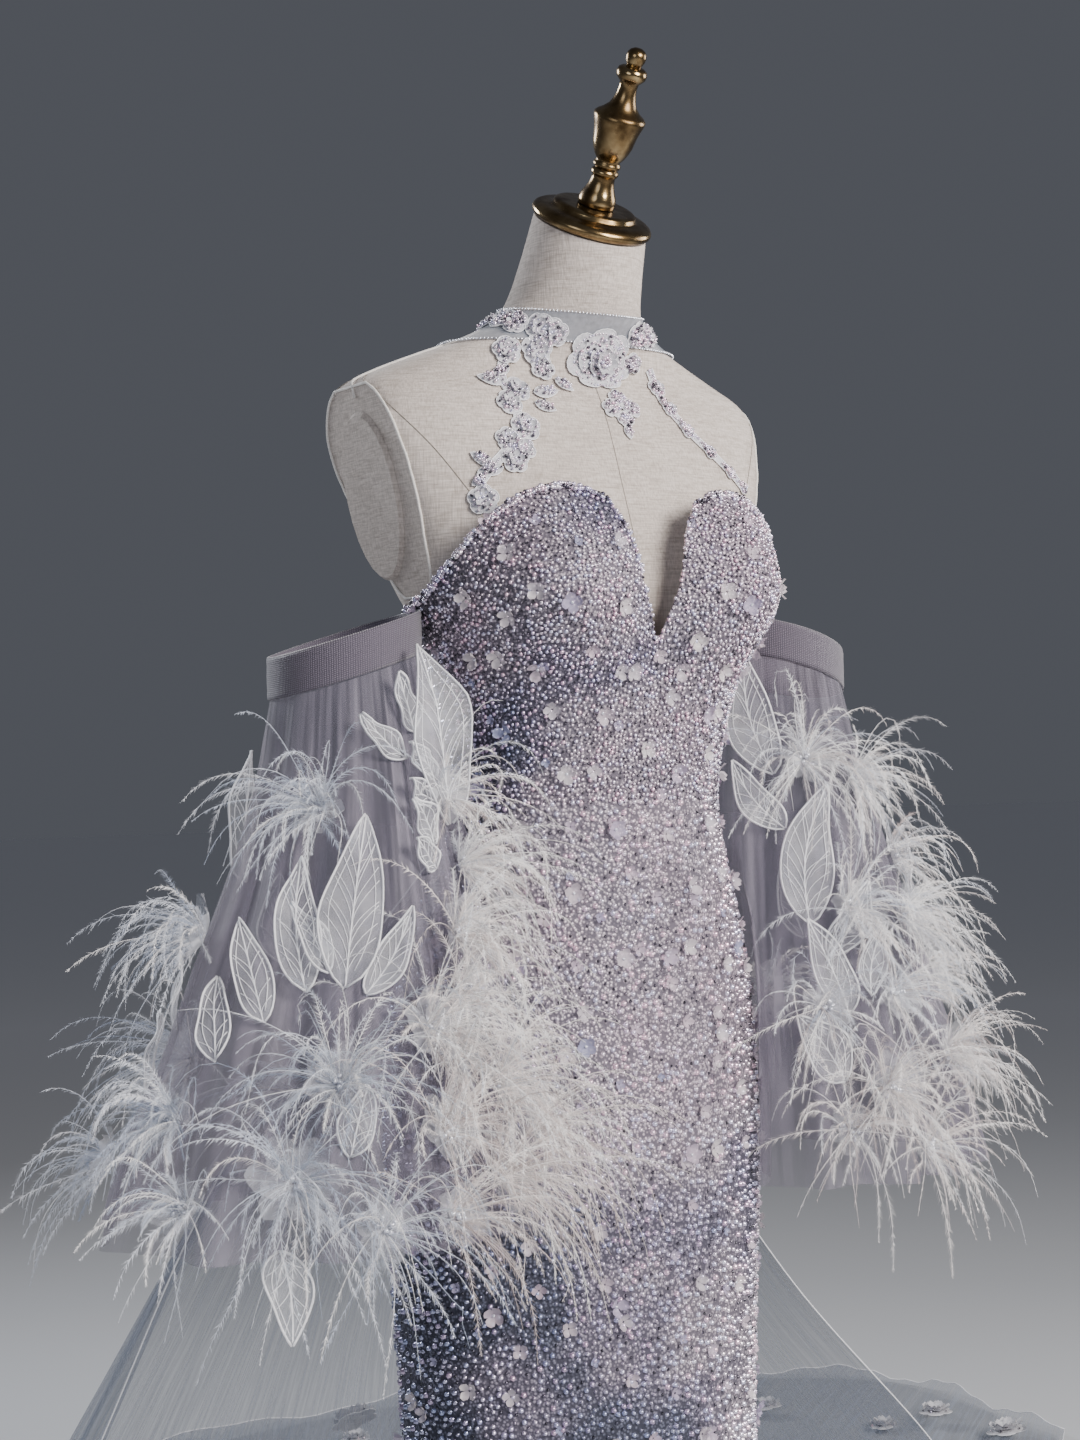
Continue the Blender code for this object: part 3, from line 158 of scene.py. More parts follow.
# Torso of the form. A padded shape covered in close natural linen, cut in panels that are sewn
# together over it, and cut off flat at both arms, where a linen-covered plate closes it.
figure = np.array((
    # height, half_width, front, back, centre_y, lean, power
    (0.760, 0.140, 0.080, 0.112, 0.022, 0.0, 2.2),
    (0.772, 0.158, 0.094, 0.134, 0.022, 0.0, 2.2),
    (0.840, 0.166, 0.097, 0.140, 0.022, 0.0, 2.2),
    (0.900, 0.152, 0.094, 0.118, 0.015, 0.0, 2.2),
    (0.960, 0.132, 0.090, 0.096, 0.007, 0.0, 2.2),
    (1.020, 0.124, 0.093, 0.086, 0.000, 0.0, 2.2),
    (1.090, 0.128, 0.098, 0.086, 0.000, 0.0, 2.2),
    (1.150, 0.140, 0.100, 0.094, 0.002, 0.0, 2.3),
    (1.210, 0.170, 0.110, 0.102, 0.014, 0.0, 2.5),
    (1.260, 0.186, 0.112, 0.108, 0.026, 0.0, 2.7),
    (1.310, 0.206, 0.112, 0.108, 0.042, 0.0, 2.8),
    (1.350, 0.218, 0.110, 0.104, 0.054, 0.0, 2.8),
    (1.380, 0.220, 0.101, 0.092, 0.058, 0.0, 2.7),
    (1.400, 0.211, 0.089, 0.080, 0.057, 0.0, 2.5),
    (1.414, 0.185, 0.079, 0.072, 0.051, 0.0, 2.3),
    (1.430, 0.145, 0.069, 0.067, 0.038, 0.0, 2.1),
    (1.444, 0.107, 0.063, 0.064, 0.025, 0.0, 2.0),
    (1.458, 0.080, 0.060, 0.062, 0.014, 4.0, 2.0),
    (1.474, 0.066, 0.058, 0.060, 0.003, 9.0, 2.0),
    (1.505, 0.058, 0.056, 0.057, -0.012, 20.0, 2.0),
    (1.547, 0.053, 0.053, 0.053, -0.030, 31.0, 2.0),
))
figure_bust = {"depth": 0.038, "inner": 0.052, "outer": 0.050, "below": 0.055, "above": 0.060}
bust_x, bust_height, bust_spread = 0.083, 1.205, 0.45
arm_plane_x, arm_plane_height, arm_plane_slope = 0.164, 1.190, 0.205


def row_at(rows, key):
    """A row of a table at a value of its first column, on a smooth curve through the rows."""
    keys = rows[:, 0]
    i = int(np.clip(np.searchsorted(keys, key) - 1, 0, len(keys) - 2))
    slopes = [
        (rows[min(j + 1, len(rows) - 1)] - rows[max(j - 1, 0)])
        / (keys[min(j + 1, len(rows) - 1)] - keys[max(j - 1, 0)])
        for j in (i, i + 1)
    ]
    span = keys[i + 1] - keys[i]
    t = (key - keys[i]) / span
    return ((2 * t**3 - 3 * t**2 + 1) * rows[i] + (t**3 - 2 * t**2 + t) * span * slopes[0]
            + (3 * t**2 - 2 * t**3) * rows[i + 1] + (t**3 - t**2) * span * slopes[1])


def signed_power(value, power):
    """A power of a number's size, with the number's own sign."""
    return math.copysign(abs(value) ** power, value)


def body_point(rows, bust, angle, height):
    """A point of a body section; angle is in radians from the centre front towards +X."""
    _, half_width, front, back, centre_y, lean, power = row_at(rows, height)
    x = half_width * signed_power(math.sin(angle), 2 / power)
    ahead = math.cos(angle) > 0
    away = -(front if ahead else back) * signed_power(math.cos(angle), 2 / power)
    if ahead:
        across, rise = abs(x) - bust_x, height - bust_height
        width = bust["outer"] if across > 0 else bust["inner"]
        tall = bust["above"] if rise > 0 else bust["below"]
        swell = bust["depth"] * math.exp(-((across / width) ** 2) - (rise / tall) ** 2)
        swell *= math.cos(angle) ** 0.5
        away -= swell
        x += math.copysign(min(abs(x), swell * bust_spread), x)
    tip = math.radians(lean)
    return Vector((x, centre_y + away * math.cos(tip), height + away * math.sin(tip)))


def figure_point(angle, height):
    """A point of the form's torso, cut flat where the arm plates are."""
    point = body_point(figure, figure_bust, angle, height)
    if height > arm_plane_height - 0.03:
        limit = arm_plane_x + (height - arm_plane_height) * arm_plane_slope
        point.x = min(max(point.x, -limit), limit)
    return point


def new_piece(name, mesh, finish, slot, *nodes):
    """An object for a mesh, with its finish, riding on the one body and standing for CAD nodes."""
    piece = bpy.data.objects.new(name, mesh)
    bpy.context.scene.collection.objects.link(piece)
    mesh.materials.clear()
    mesh.materials.append(finish)
    mesh.shade_smooth()
    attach(piece, "root")
    if nodes:
        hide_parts(*nodes)
    return piece


def mesh_of(name, points, faces, turn_out=False):
    """A mesh; a closed shape of unsure winding has its faces turned outwards."""
    mesh = bpy.data.meshes.new(name)
    mesh.from_pydata([tuple(p) for p in points], [], [tuple(f) for f in faces])
    if turn_out:
        shape = bmesh.new()
        shape.from_mesh(mesh)
        bmesh.ops.recalc_face_normals(shape, faces=shape.faces)
        shape.to_mesh(mesh)
        shape.free()
    return mesh


def noise_of(tree, scale, stretch=(1, 1, 1), source="Object", detail=3.0):
    """Soft noise on the object's own coordinates or its UV map, in cells of one over the scale."""
    coordinates = put_node(tree, "ShaderNodeTexCoord")
    mapping = put_node(tree, "ShaderNodeMapping", {"Vector": coordinates.outputs[source], "Scale": stretch})
    made = put_node(tree, "ShaderNodeTexNoise", {
        "Vector": mapping.outputs["Vector"], "Scale": scale, "Detail": detail})
    return made.outputs["Fac"]


def mottled(tree, noise, first, second):
    """Two colours or grey levels that a noise runs into each other."""
    return ramp_of(tree, noise, (0.3, first), (0.7, second))


def mixed(tree, factor, first, second, how="MIX"):
    """Two colours blended by a factor."""
    made = put_node(tree, "ShaderNodeMix", {0: factor, 6: first, 7: second}, data_type="RGBA", blend_type=how)
    return made.outputs[2]


def bumped(tree, shader, height, strength, distance):
    """Relief from a height, in metres at full strength."""
    made = put_node(tree, "ShaderNodeBump", {"Height": height, "Strength": strength, "Distance": distance})
    tree.links.new(made.outputs["Normal"], shader.inputs["Normal"])


def mottled_finish(name, first, second, scale, stretch=(1, 1, 1), **inputs):
    """A finish of two close tones, with the shader's other inputs."""
    material, tree, shader = new_finish(name)
    feed(tree, shader, Base_Color=mottled(tree, noise_of(tree, scale, stretch), first, second), **inputs)
    return material


linen, tree, shader = new_finish("linen")
warp = noise_of(tree, 1.0, (700, 700, 60))
weft = noise_of(tree, 1.0, (60, 60, 800))
threads = calculated(tree, "MULTIPLY", warp, weft)
slubs = noise_of(tree, 1.0, (90, 90, 520), detail=1.0)
tone = ramp_of(tree, threads, (0.12, (0.44, 0.380, 0.335)), (0.30, (0.65, 0.575, 0.52)),
               (0.45, (0.75, 0.672, 0.615)))
worn = ramp_of(tree, noise_of(tree, 7.0), (0.35, (0.84, 0.835, 0.83)), (0.65, 1.0))
streaked = ramp_of(tree, slubs, (0.30, (0.88, 0.87, 0.85)), (0.44, 1.0))
aged = mixed(tree, 1.0, worn, streaked, "MULTIPLY")
feed(tree, shader, Base_Color=mixed(tree, 1.0, tone, aged, "MULTIPLY"), Roughness=0.92, Sheen_Weight=0.15,
     Sheen_Roughness=0.5)
bumped(tree, shader, threads, 0.7, 0.0010)

def grid_faces(rows, columns, closed=False):
    """Squares between the points of a grid, row by row."""
    faces = []
    for r in range(rows - 1):
        for c in range(columns if closed else columns - 1):
            n = (c + 1) % columns
            faces.append((r * columns + c, r * columns + n, (r + 1) * columns + n, (r + 1) * columns + c))
    return faces


torso_columns, plate_edge_angle = 112, math.radians(32)
torso_heights = np.concatenate((np.linspace(0.760, 0.775, 4), np.linspace(0.80, 1.12, 10),
                                np.linspace(1.14, 1.36, 20), np.linspace(1.367, 1.547, 34)))
torso_points = [figure_point(math.tau * c / torso_columns, height)
                for height in torso_heights for c in range(torso_columns)]
torso_faces = [tuple(range(torso_columns))[::-1],
               *grid_faces(len(torso_heights), torso_columns, closed=True),
               tuple(range(len(torso_points) - torso_columns, len(torso_points)))]
torso_mesh = mesh_of("torso_linen", torso_points, torso_faces)
torso = new_piece("torso_linen", torso_mesh, linen, "linen", "form_torso")
torso_mesh.set_sharp_from_angle(angle=plate_edge_angle)
torso_tree = BVHTree.FromPolygons(torso_points, torso_faces)

# Seams and piping of the torso. The panel seams are pressed open and show as fine dark lines, and
# a pale cord is piped into the shoulder seams and round both arm plates.
def outward(surface, angle, height):
    """The outward direction of a surface of angle and height."""
    step = 0.004
    across = surface(angle + step, height) - surface(angle - step, height)
    up = surface(angle, height + step) - surface(angle, height - step)
    return across.cross(up).normalized()


def figure_path(stops, count, lift):
    """A smooth line over the torso through (degrees, height) stops, raised by a lift."""
    rows = np.array([(k, *stop) for k, stop in enumerate(stops)], float)
    line = []
    for t in np.linspace(0, len(stops) - 1, count):
        _, degrees, height = row_at(rows, t)
        angle = math.radians(degrees)
        line.append(figure_point(angle, height) + outward(figure_point, angle, height) * lift)
    return line


def tube(points, radius, sides, closed=False):
    """Points and faces of a thin tube along a path, its radius fading with a list of radii."""
    path = [Vector(p) for p in points]
    count = len(path)
    radii = radius if isinstance(radius, (list, tuple)) else [radius] * count
    made, faces = [], []
    lead = Vector((0.3, 0.5, 0.81))
    for k, point in enumerate(path):
        before = path[k - 1] if closed or k else path[0]
        after = path[(k + 1) % count] if closed or k < count - 1 else path[-1]
        along = (after - before).normalized()
        lead = (lead - along * lead.dot(along)).normalized()
        other = along.cross(lead)
        for s in range(sides):
            turn = math.tau * s / sides
            made.append(point + (lead * math.cos(turn) + other * math.sin(turn)) * radii[k])
    for k in range(count if closed else count - 1):
        for s in range(sides):
            n, m = (s + 1) % sides, (k + 1) % count
            faces.append((k * sides + s, k * sides + n, m * sides + n, m * sides + s))
    if not closed:
        faces.append(tuple(range(sides))[::-1])
        faces.append(tuple((count - 1) * sides + s for s in range(sides)))
    return made, faces


class Gathered:
    """Points and faces of many small shapes gathered into one mesh."""

    def __init__(self):
        self.points, self.faces, self.tints = [], [], []

    def add(self, points, faces, tint=0.5):
        start = len(self.points)
        self.points += points
        self.tints += [tint] * len(points)
        self.faces += [tuple(start + i for i in face) for face in faces]

    def piece(self, name, finish, slot, *nodes):
        mesh = mesh_of(name, self.points, self.faces)
        mesh.attributes.new("tint", "FLOAT", "POINT").data.foreach_set("value", self.tints)
        return new_piece(name, mesh, finish, slot, *nodes)


seam_finish = mottled_finish("seam_thread", (0.20, 0.175, 0.15), (0.30, 0.265, 0.23), 400.0, Roughness=0.9)
seam_lines, seam_lift = Gathered(), 0.0001
for side in (-1, 1):
    for stops in (((84, 1.408), (66, 1.385), (52, 1.350), (44, 1.310), (38, 1.250), (36, 1.180)),
                  ((96, 1.408), (118, 1.380), (132, 1.330), (140, 1.260), (146, 1.170))):
        painted_shade_and_slate = [(side * degrees, height) for degrees, height in stops]
        seam_lines.add(*tube(figure_path(painted_shade_and_slate, 40, seam_lift), 0.00045, 5))
for stops, count in ((((0, 1.436), (0, 1.36), (0, 1.29), (0, 1.17)), 40),
                     (((180, 1.50), (180, 1.44), (180, 1.35), (180, 1.17)), 50)):
    seam_lines.add(*tube(figure_path(stops, count, seam_lift), 0.0004, 5))
seam_lines.piece("torso_seams", seam_finish, "linen")

piping_finish = mottled_finish("piping_cord", (0.66, 0.63, 0.58), (0.83, 0.80, 0.76), 1.0, (200, 200, 900),
                               Roughness=0.8, Sheen_Weight=0.3)
piping, piping_radius = Gathered(), 0.0012
for side in (-1, 1):
    shoulder = [(side * degrees, height) for degrees, height in (
        (90, 1.452), (89, 1.440), (88, 1.425), (88, 1.408), (88, 1.388))]
    piping.add(*tube(figure_path(shoulder, 36, 0.0005), piping_radius, 8))
    front_line, back_line = [], []
    for height in np.linspace(1.172, 1.398, 34):
        limit = arm_plane_x + (height - arm_plane_height) * arm_plane_slope
        turns = [math.radians(a / 2) for a in range(40, 300)
                 if body_point(figure, figure_bust, math.radians(a / 2), height).x > limit]
        if turns:
            for line, turn in ((front_line, turns[0]), (back_line, turns[-1])):
                edge = figure_point(side * turn, height)
                line.append(edge + outward(figure_point, side * turn, height) * 0.0006)
    piping.add(*tube(front_line + back_line[::-1], piping_radius, 8, closed=True))
piping.piece("torso_piping", piping_finish, "linen")
for side in ("right", "left"):
    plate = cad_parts[f"form_arm_plate_{side}"]
    plate.data.materials.clear()
    plate.data.materials.append(linen)

# Neck cap and finial. Turned brass in the old style, lacquered once and now dulled in patches,
# screwed down on the sloping top of the neck.
brass, tree, shader = new_finish("aged_brass")
tarnish = noise_of(tree, 55.0, detail=6.0)
feed(tree, shader, Metallic=1.0,
     Base_Color=ramp_of(tree, tarnish, (0.30, (0.060, 0.036, 0.016)), (0.50, (0.21, 0.140, 0.065)),
                        (0.72, (0.45, 0.330, 0.170))),
     Roughness=mottled(tree, tarnish, 0.36, 0.13))
bumped(tree, shader, noise_of(tree, 1.0, (60, 60, 900)), 0.15, 0.0003)
neck_lean = math.radians(31.0)
neck_axis = Vector((0, -math.sin(neck_lean), math.cos(neck_lean)))
neck_top = Vector((0, -0.030, 1.547))
cap_profile = ((0.000, 0.0200), (0.033, 0.0200), (0.036, 0.0198), (0.038, 0.0186), (0.039, 0.0172),
               (0.0396, 0.0150), (0.0412, 0.0139), (0.0470, 0.0136), (0.0510, 0.0126), (0.0545, 0.0105),
               (0.0562, 0.0080), (0.0565, 0.0060), (0.0556, 0.0036), (0.0540, 0.0020), (0.0515, 0.0003),
               (0.0, 0.0003))
finial_profile = ((0.0, 0.1453), (0.0035, 0.1449), (0.0066, 0.1432), (0.0086, 0.1405), (0.0092, 0.1375),
                  (0.0088, 0.1340), (0.0072, 0.1305), (0.0066, 0.1288), (0.0100, 0.1280), (0.0128, 0.1262),
                  (0.0140, 0.1225), (0.0134, 0.1188), (0.0112, 0.1162), (0.0088, 0.1140), (0.0083, 0.1095),
                  (0.0090, 0.1035), (0.0104, 0.0985), (0.0128, 0.0930), (0.0172, 0.0885), (0.0214, 0.0857),
                  (0.0240, 0.0830), (0.0236, 0.0795), (0.0218, 0.0740), (0.0204, 0.0690), (0.0194, 0.0635),
                  (0.0185, 0.0575), (0.0165, 0.0515), (0.0140, 0.0465), (0.0114, 0.0430), (0.0110, 0.0415),
                  (0.0124, 0.0398), (0.0128, 0.0380), (0.0120, 0.0362), (0.0104, 0.0348), (0.0122, 0.0330),
                  (0.0128, 0.0310), (0.0120, 0.0290), (0.0106, 0.0272), (0.0110, 0.0230), (0.0122, 0.0185),
                  (0.0144, 0.0135), (0.0162, 0.0100), (0.0173, 0.0060), (0.0175, 0.0030), (0.0170, 0.0003),
                  (0.0, 0.0003))


def turned_mesh(name, profile, foot, steps):
    """A turned shape on the neck's axis, from its (radius, height) profile."""
    made, faces = [], []
    side = Vector((1, 0, 0))
    other = neck_axis.cross(side)
    inner = profile[1:-1]
    for radius, height in inner:
        for s in range(steps):
            turn = math.tau * s / steps
            made.append(foot + neck_axis * height + (side * math.cos(turn) + other * math.sin(turn)) * radius)
    made += [foot + neck_axis * profile[0][1], foot + neck_axis * profile[-1][1]]
    for s in range(steps):
        n = (s + 1) % steps
        faces.append((s, n, len(made) - 2))
        low = (len(inner) - 1) * steps
        faces.append((low + n, low + s, len(made) - 1))
        for r in range(len(inner) - 1):
            faces.append((r * steps + s, (r + 1) * steps + s, (r + 1) * steps + n, r * steps + n))
    return mesh_of(name, made, faces, turn_out=True)


cap_height = 0.0206
for name, node_name, profile, foot, steps, crease in (
        ("neck_cap", "form_neck_cap", cap_profile, neck_top, 64, 50),
        ("neck_finial", "form_finial", finial_profile, neck_top + neck_axis * cap_height, 48, 60)):
    turned = new_piece(name, turned_mesh(name, profile, foot, steps), brass, "brass", node_name)
    turned.data.set_sharp_from_angle(angle=math.radians(crease))

# Pole and base. A brushed steel tube under the torso and a heavy round foot painted black, both
# inside the skirt.
steel, tree, shader = new_finish("brushed_steel")
grain = noise_of(tree, 1.0, (900, 900, 8))
feed(tree, shader, Metallic=1.0, Roughness=0.34,
     Base_Color=mottled(tree, grain, (0.36, 0.36, 0.37), (0.52, 0.52, 0.53)))
bumped(tree, shader, grain, 0.2, 0.0002)
iron, tree, shader = new_finish("painted_iron")
speckle = noise_of(tree, 600.0)
feed(tree, shader, Roughness=0.48,
     Base_Color=mottled(tree, speckle, (0.035, 0.035, 0.04), (0.07, 0.07, 0.08)))
bumped(tree, shader, speckle, 0.3, 0.0003)
for node_name, finish in (("form_pole", steel), ("form_base", iron)):
    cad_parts[node_name].data.materials.clear()
    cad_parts[node_name].data.materials.append(finish)

# Gown front and back. Lilac-grey tulle over a firm lining, cut as a sweetheart front with two cups
# and a plain back, joined at the sides, and covered with tiny glass beads from edge to floor.
gown = np.array((
    # height, half_width, front, back, centre_y, lean, power
    (0.000, 0.222, 0.172, 0.215, 0.030, 0.0, 2.1),
    (0.120, 0.194, 0.146, 0.182, 0.028, 0.0, 2.1),
    (0.250, 0.174, 0.124, 0.158, 0.025, 0.0, 2.1),
    (0.400, 0.169, 0.113, 0.152, 0.025, 0.0, 2.1),
    (0.560, 0.176, 0.112, 0.158, 0.025, 0.0, 2.1),
    (0.700, 0.181, 0.113, 0.158, 0.024, 0.0, 2.2),
    (0.830, 0.175, 0.108, 0.149, 0.022, 0.0, 2.2),
    (0.900, 0.160, 0.102, 0.127, 0.015, 0.0, 2.2),
    (0.960, 0.140, 0.097, 0.103, 0.007, 0.0, 2.2),
    (1.020, 0.125, 0.094, 0.087, 0.000, 0.0, 2.2),
    (1.090, 0.134, 0.103, 0.091, 0.000, 0.0, 2.2),
    (1.150, 0.148, 0.109, 0.101, 0.002, 0.0, 2.3),
    (1.210, 0.174, 0.119, 0.111, 0.012, 0.0, 2.4),
    (1.260, 0.185, 0.122, 0.116, 0.018, 0.0, 2.4),
    (1.310, 0.189, 0.122, 0.120, 0.024, 0.0, 2.4),
))
gown_bust = {"depth": 0.049, "inner": 0.082, "outer": 0.085, "below": 0.062, "above": 0.085}
gown_cloth = 0.0020
waist_height = 1.020
top_edge = np.array((
    # degrees from the centre front, height
    (0.0, 1.158), (1.5, 1.200), (2.5, 1.226), (4.5, 1.257), (9.0, 1.284), (15.0, 1.293), (22.0, 1.296),
    (30.0, 1.292), (39.0, 1.280), (50.0, 1.260), (65.0, 1.231), (80.0, 1.208), (92.0, 1.200),
    (120.0, 1.182), (150.0, 1.168), (180.0, 1.160),
))


def gown_point(angle, height):
    """A point of the gown's inner face."""
    return body_point(gown, gown_bust, angle, height)


def edge_height(angle):
    """The height of the gown's top edge."""
    degrees = abs(math.degrees(angle)) % 360
    return float(np.interp(min(degrees, 360 - degrees), top_edge[:, 0], top_edge[:, 1]))


def grid_mesh(name, grid, closed=False, flip=False):
    """A sheet from rows of points, with a UV map in metres along and down the cloth."""
    rows, columns = len(grid), len(grid[0])
    array = np.array([[p[:] for p in row] for row in grid])
    faces = grid_faces(rows, columns, closed)
    mesh = mesh_of(name, array.reshape(-1, 3), [face[::-1] for face in faces] if flip else faces)
    wide = np.linalg.norm(np.diff(array, axis=1), axis=2).sum(1).mean() / max(columns - 1, 1)
    tall = np.linalg.norm(np.diff(array, axis=0), axis=2).sum(0).mean() / (rows - 1)
    layer = mesh.uv_layers.new(name="cloth")
    corner = 0
    for r in range(rows - 1):
        for c in range(columns if closed else columns - 1):
            square = ((c, r), (c + 1, r), (c + 1, r + 1), (c, r + 1))
            for u, v in square[::-1] if flip else square:
                layer.data[corner].uv = (u * wide, -v * tall)
                corner += 1
    return mesh


def gown_grid(angles, lift, bodice_rows=30, skirt_rows=40):
    """Rows of points down the gown, raised by a lift."""
    grid = []
    for share in np.concatenate((np.linspace(0, 1, bodice_rows)[:-1], np.linspace(1, 2, skirt_rows))):
        row = []
        for angle in angles:
            top = edge_height(angle)
            height = top + (waist_height - top) * share if share < 1 else waist_height * (2 - share)
            point = gown_point(angle, height)
            row.append(point + outward(gown_point, angle, height) * lift if lift else point)
        grid.append(row)
    return grid


def colour_patches_and_painted_shade(tree):
    """Soft mottling of the gown's colours, with painted shade: darker and slate towards its right side,
    painted shade away from the key light that is partly its slate colour, and darker towards the hem, partly
    painted shade and partly slate; silver elsewhere.
    """
    place = put_node(tree, "ShaderNodeTexCoord").outputs["Object"]
    parted = put_node(tree, "ShaderNodeSeparateXYZ", {"Vector": place}).outputs
    # painted shade: the gown darkens towards the hem and towards its right side, partly painted shade and
    # partly its slate colour
    hem_slate_and_painted_shade = calculated(tree, "MULTIPLY_ADD", parted["Z"], 0.26, -0.19)
    painted_shade_and_slate = calculated(tree, "MULTIPLY_ADD", parted["X"], 0.85, hem_slate_and_painted_shade)
    return calculated(tree, "ADD", noise_of(tree, 6.5), painted_shade_and_slate)


beaded_tulle, tree, shader = new_finish("beaded_tulle")
coordinates = put_node(tree, "ShaderNodeTexCoord")
seed_beads = put_node(tree, "ShaderNodeTexVoronoi", {
    "Vector": coordinates.outputs["Object"], "Scale": 330.0}).outputs["Distance"]
patches_and_painted_shade = colour_patches_and_painted_shade(tree)
# the slate end of this ramp carries the painted shade of the gown's right side and hem, partly its slate
# colour
tone_with_painted_shade = ramp_of(tree, patches_and_painted_shade, (0.36, (0.15, 0.16, 0.23)), (0.46, (0.38, 0.34, 0.43)),
                     (0.55, (0.62, 0.545, 0.61)), (0.68, (0.68, 0.57, 0.64)))
# each seed bead is painted brightest at its middle, a painted highlight, and dark at its rim and in the gaps
# between beads, painted shade that is partly the cloth's own darker tone
seed_bead_highlight_and_shade = ramp_of(tree, seed_beads, (0.10, 1.0), (0.55, (0.22, 0.22, 0.25)))
feed(tree, shader, Base_Color=mixed(tree, 1.0, tone_with_painted_shade, seed_bead_highlight_and_shade, "MULTIPLY"), Metallic=0.3,
     Specular_IOR_Level=0.7,
     Roughness=ramp_of(tree, seed_beads, (0.1, 0.25), (0.6, 0.8)))
bumped(tree, shader, calculated(tree, "SUBTRACT", 1.0, seed_beads), 0.6, 0.0016)

lining = mottled_finish("satin_lining", (0.50, 0.46, 0.54), (0.62, 0.58, 0.65), 1.0, (500, 500, 60),
                        Roughness=0.42, Sheen_Weight=0.3)
gown_faces, joined_points, joined_faces = {}, [], []
seam_half = 0.0012
# the front's columns crowd towards its middle, where the two cups part
half_front = np.concatenate((np.linspace(0.25, 10, 20), np.linspace(11.6, 89.93, 34)))
front_turns = np.radians(np.concatenate((-half_front[::-1], half_front)))
back_turns = np.linspace(math.pi / 2 + seam_half, math.pi * 1.5 - seam_half, 57)
for name, angles in (("front", front_turns), ("back", back_turns)):
    mesh = grid_mesh(f"gown_{name}_cloth", gown_grid(angles, 0), flip=True)
    wall = new_piece(f"gown_{name}_cloth", mesh, beaded_tulle, "beadwork", f"gown_{name}")
    mesh.materials.append(lining)
    shell = wall.modifiers.new("wall", "SOLIDIFY")
    shell.thickness, shell.offset = gown_cloth - 0.0002, 1.0
    shell.material_offset = 1
    outer = gown_grid(angles, gown_cloth, 44, 60)
    flat = [p for row in outer for p in row]
    faces = [(a, d, c, b) for a, b, c, d in grid_faces(len(outer), len(angles))]
    gown_faces[name] = (flat, faces)
    joined_faces += [tuple(i + len(joined_points) for i in face) for face in faces]
    joined_points += flat
gown_tree = BVHTree.FromPolygons(joined_points, joined_faces)


# Beads of the gown. Cut-glass beads, silver with lilac, blue and rose lights, are sewn on close
# together in every direction: small, round and crowded over the bodice, larger, lower and further
# apart on the skirt and the back.
def new_group(name, **inputs):
    """A node group with a mesh and named inputs, and the sockets that they come in by."""
    group = bpy.data.node_groups.new(name, "GeometryNodeTree")
    sockets = group.interface
    for label, kind in {"Geometry": "Geometry", "Item": "Object", "Finish": "Material", **inputs}.items():
        sockets.new_socket(label, in_out="INPUT", socket_type="NodeSocket" + kind)
    sockets.new_socket("Geometry", in_out="OUTPUT", socket_type="NodeSocketGeometry")
    return group, put_node(group, "NodeGroupInput").outputs


def end_group(group, copies, finish):
    """Makes the copies real, gives them their finish and ends the group."""
    real = put_node(group, "GeometryNodeRealizeInstances", {"Geometry": copies})
    finished = put_node(group, "GeometryNodeSetMaterial", {
        "Geometry": real.outputs["Geometry"], "Material": finish})
    put_node(group, "NodeGroupOutput", {"Geometry": finished.outputs["Geometry"]})
    return group


def scatter_group(name):
    """A node group that sows an item over a surface, spaced evenly, spun and sized at random."""
    group, given = new_group(name, Spacing="Float", Smallest="Float", Largest="Float", Seed="Int")
    crowding = 2.4
    one_per_square = calculated(group, "POWER", given["Spacing"], -2.0)
    sown = put_node(group, "GeometryNodeDistributePointsOnFaces", {
        "Mesh": given["Geometry"], "Distance Min": given["Spacing"],
        "Density Max": calculated(group, "MULTIPLY", one_per_square, crowding),
        "Seed": given["Seed"]}, distribute_method="POISSON")
    item = put_node(group, "GeometryNodeObjectInfo", {"Object": given["Item"]})
    size = put_node(group, "FunctionNodeRandomValue", {
        2: given["Smallest"], 3: given["Largest"], "Seed": given["Seed"]}, data_type="FLOAT")
    copies = put_node(group, "GeometryNodeInstanceOnPoints", {
        "Points": sown.outputs["Points"], "Instance": item.outputs["Geometry"],
        "Rotation": sown.outputs["Rotation"], "Scale": size.outputs[1]})
    spin = put_node(group, "FunctionNodeRandomValue", {2: 0.0, 3: math.tau, "Seed": given["Seed"]},
                    data_type="FLOAT")
    turn = put_node(group, "ShaderNodeCombineXYZ", {"Z": spin.outputs[1]})
    spun = put_node(group, "GeometryNodeRotateInstances", {
        "Instances": copies.outputs["Instances"], "Rotation": turn.outputs["Vector"]})
    shade = put_node(group, "FunctionNodeRandomValue", {2: 0.0, 3: 1.0, "Seed": given["Seed"]},
                     data_type="FLOAT")
    marked = put_node(group, "GeometryNodeStoreNamedAttribute", {
        "Geometry": spun.outputs["Instances"], "Name": "tint", "Value": shade.outputs[1]},
        data_type="FLOAT", domain="INSTANCE")
    return end_group(group, marked.outputs["Geometry"], given["Finish"])


def grown(name, carrier, group, **values):
    """The plain mesh that a node group makes from a carrier mesh; the carrier then goes."""
    holder = bpy.data.objects.new("carrier", carrier)
    bpy.context.scene.collection.objects.link(holder)
    modifier = holder.modifiers.new("work", "NODES")
    modifier.node_group = group
    for socket in group.interface.items_tree:
        if socket.in_out == "INPUT" and socket.name in values:
            modifier[socket.identifier] = values[socket.name]
    holder.update_tag()
    view = bpy.context.evaluated_depsgraph_get()
    mesh = bpy.data.meshes.new_from_object(holder.evaluated_get(view))
    bpy.data.objects.remove(holder)
    mesh.name = name
    return mesh


def gown_carrier(name, wall, low, high):
    """The outer face of the gown's front or back between two heights, to sow things on."""
    flat, faces = gown_faces[wall]
    return mesh_of(name + "_carrier", flat,
                   [face for face in faces if low <= sum(flat[i].z for i in face) / 4 < high])


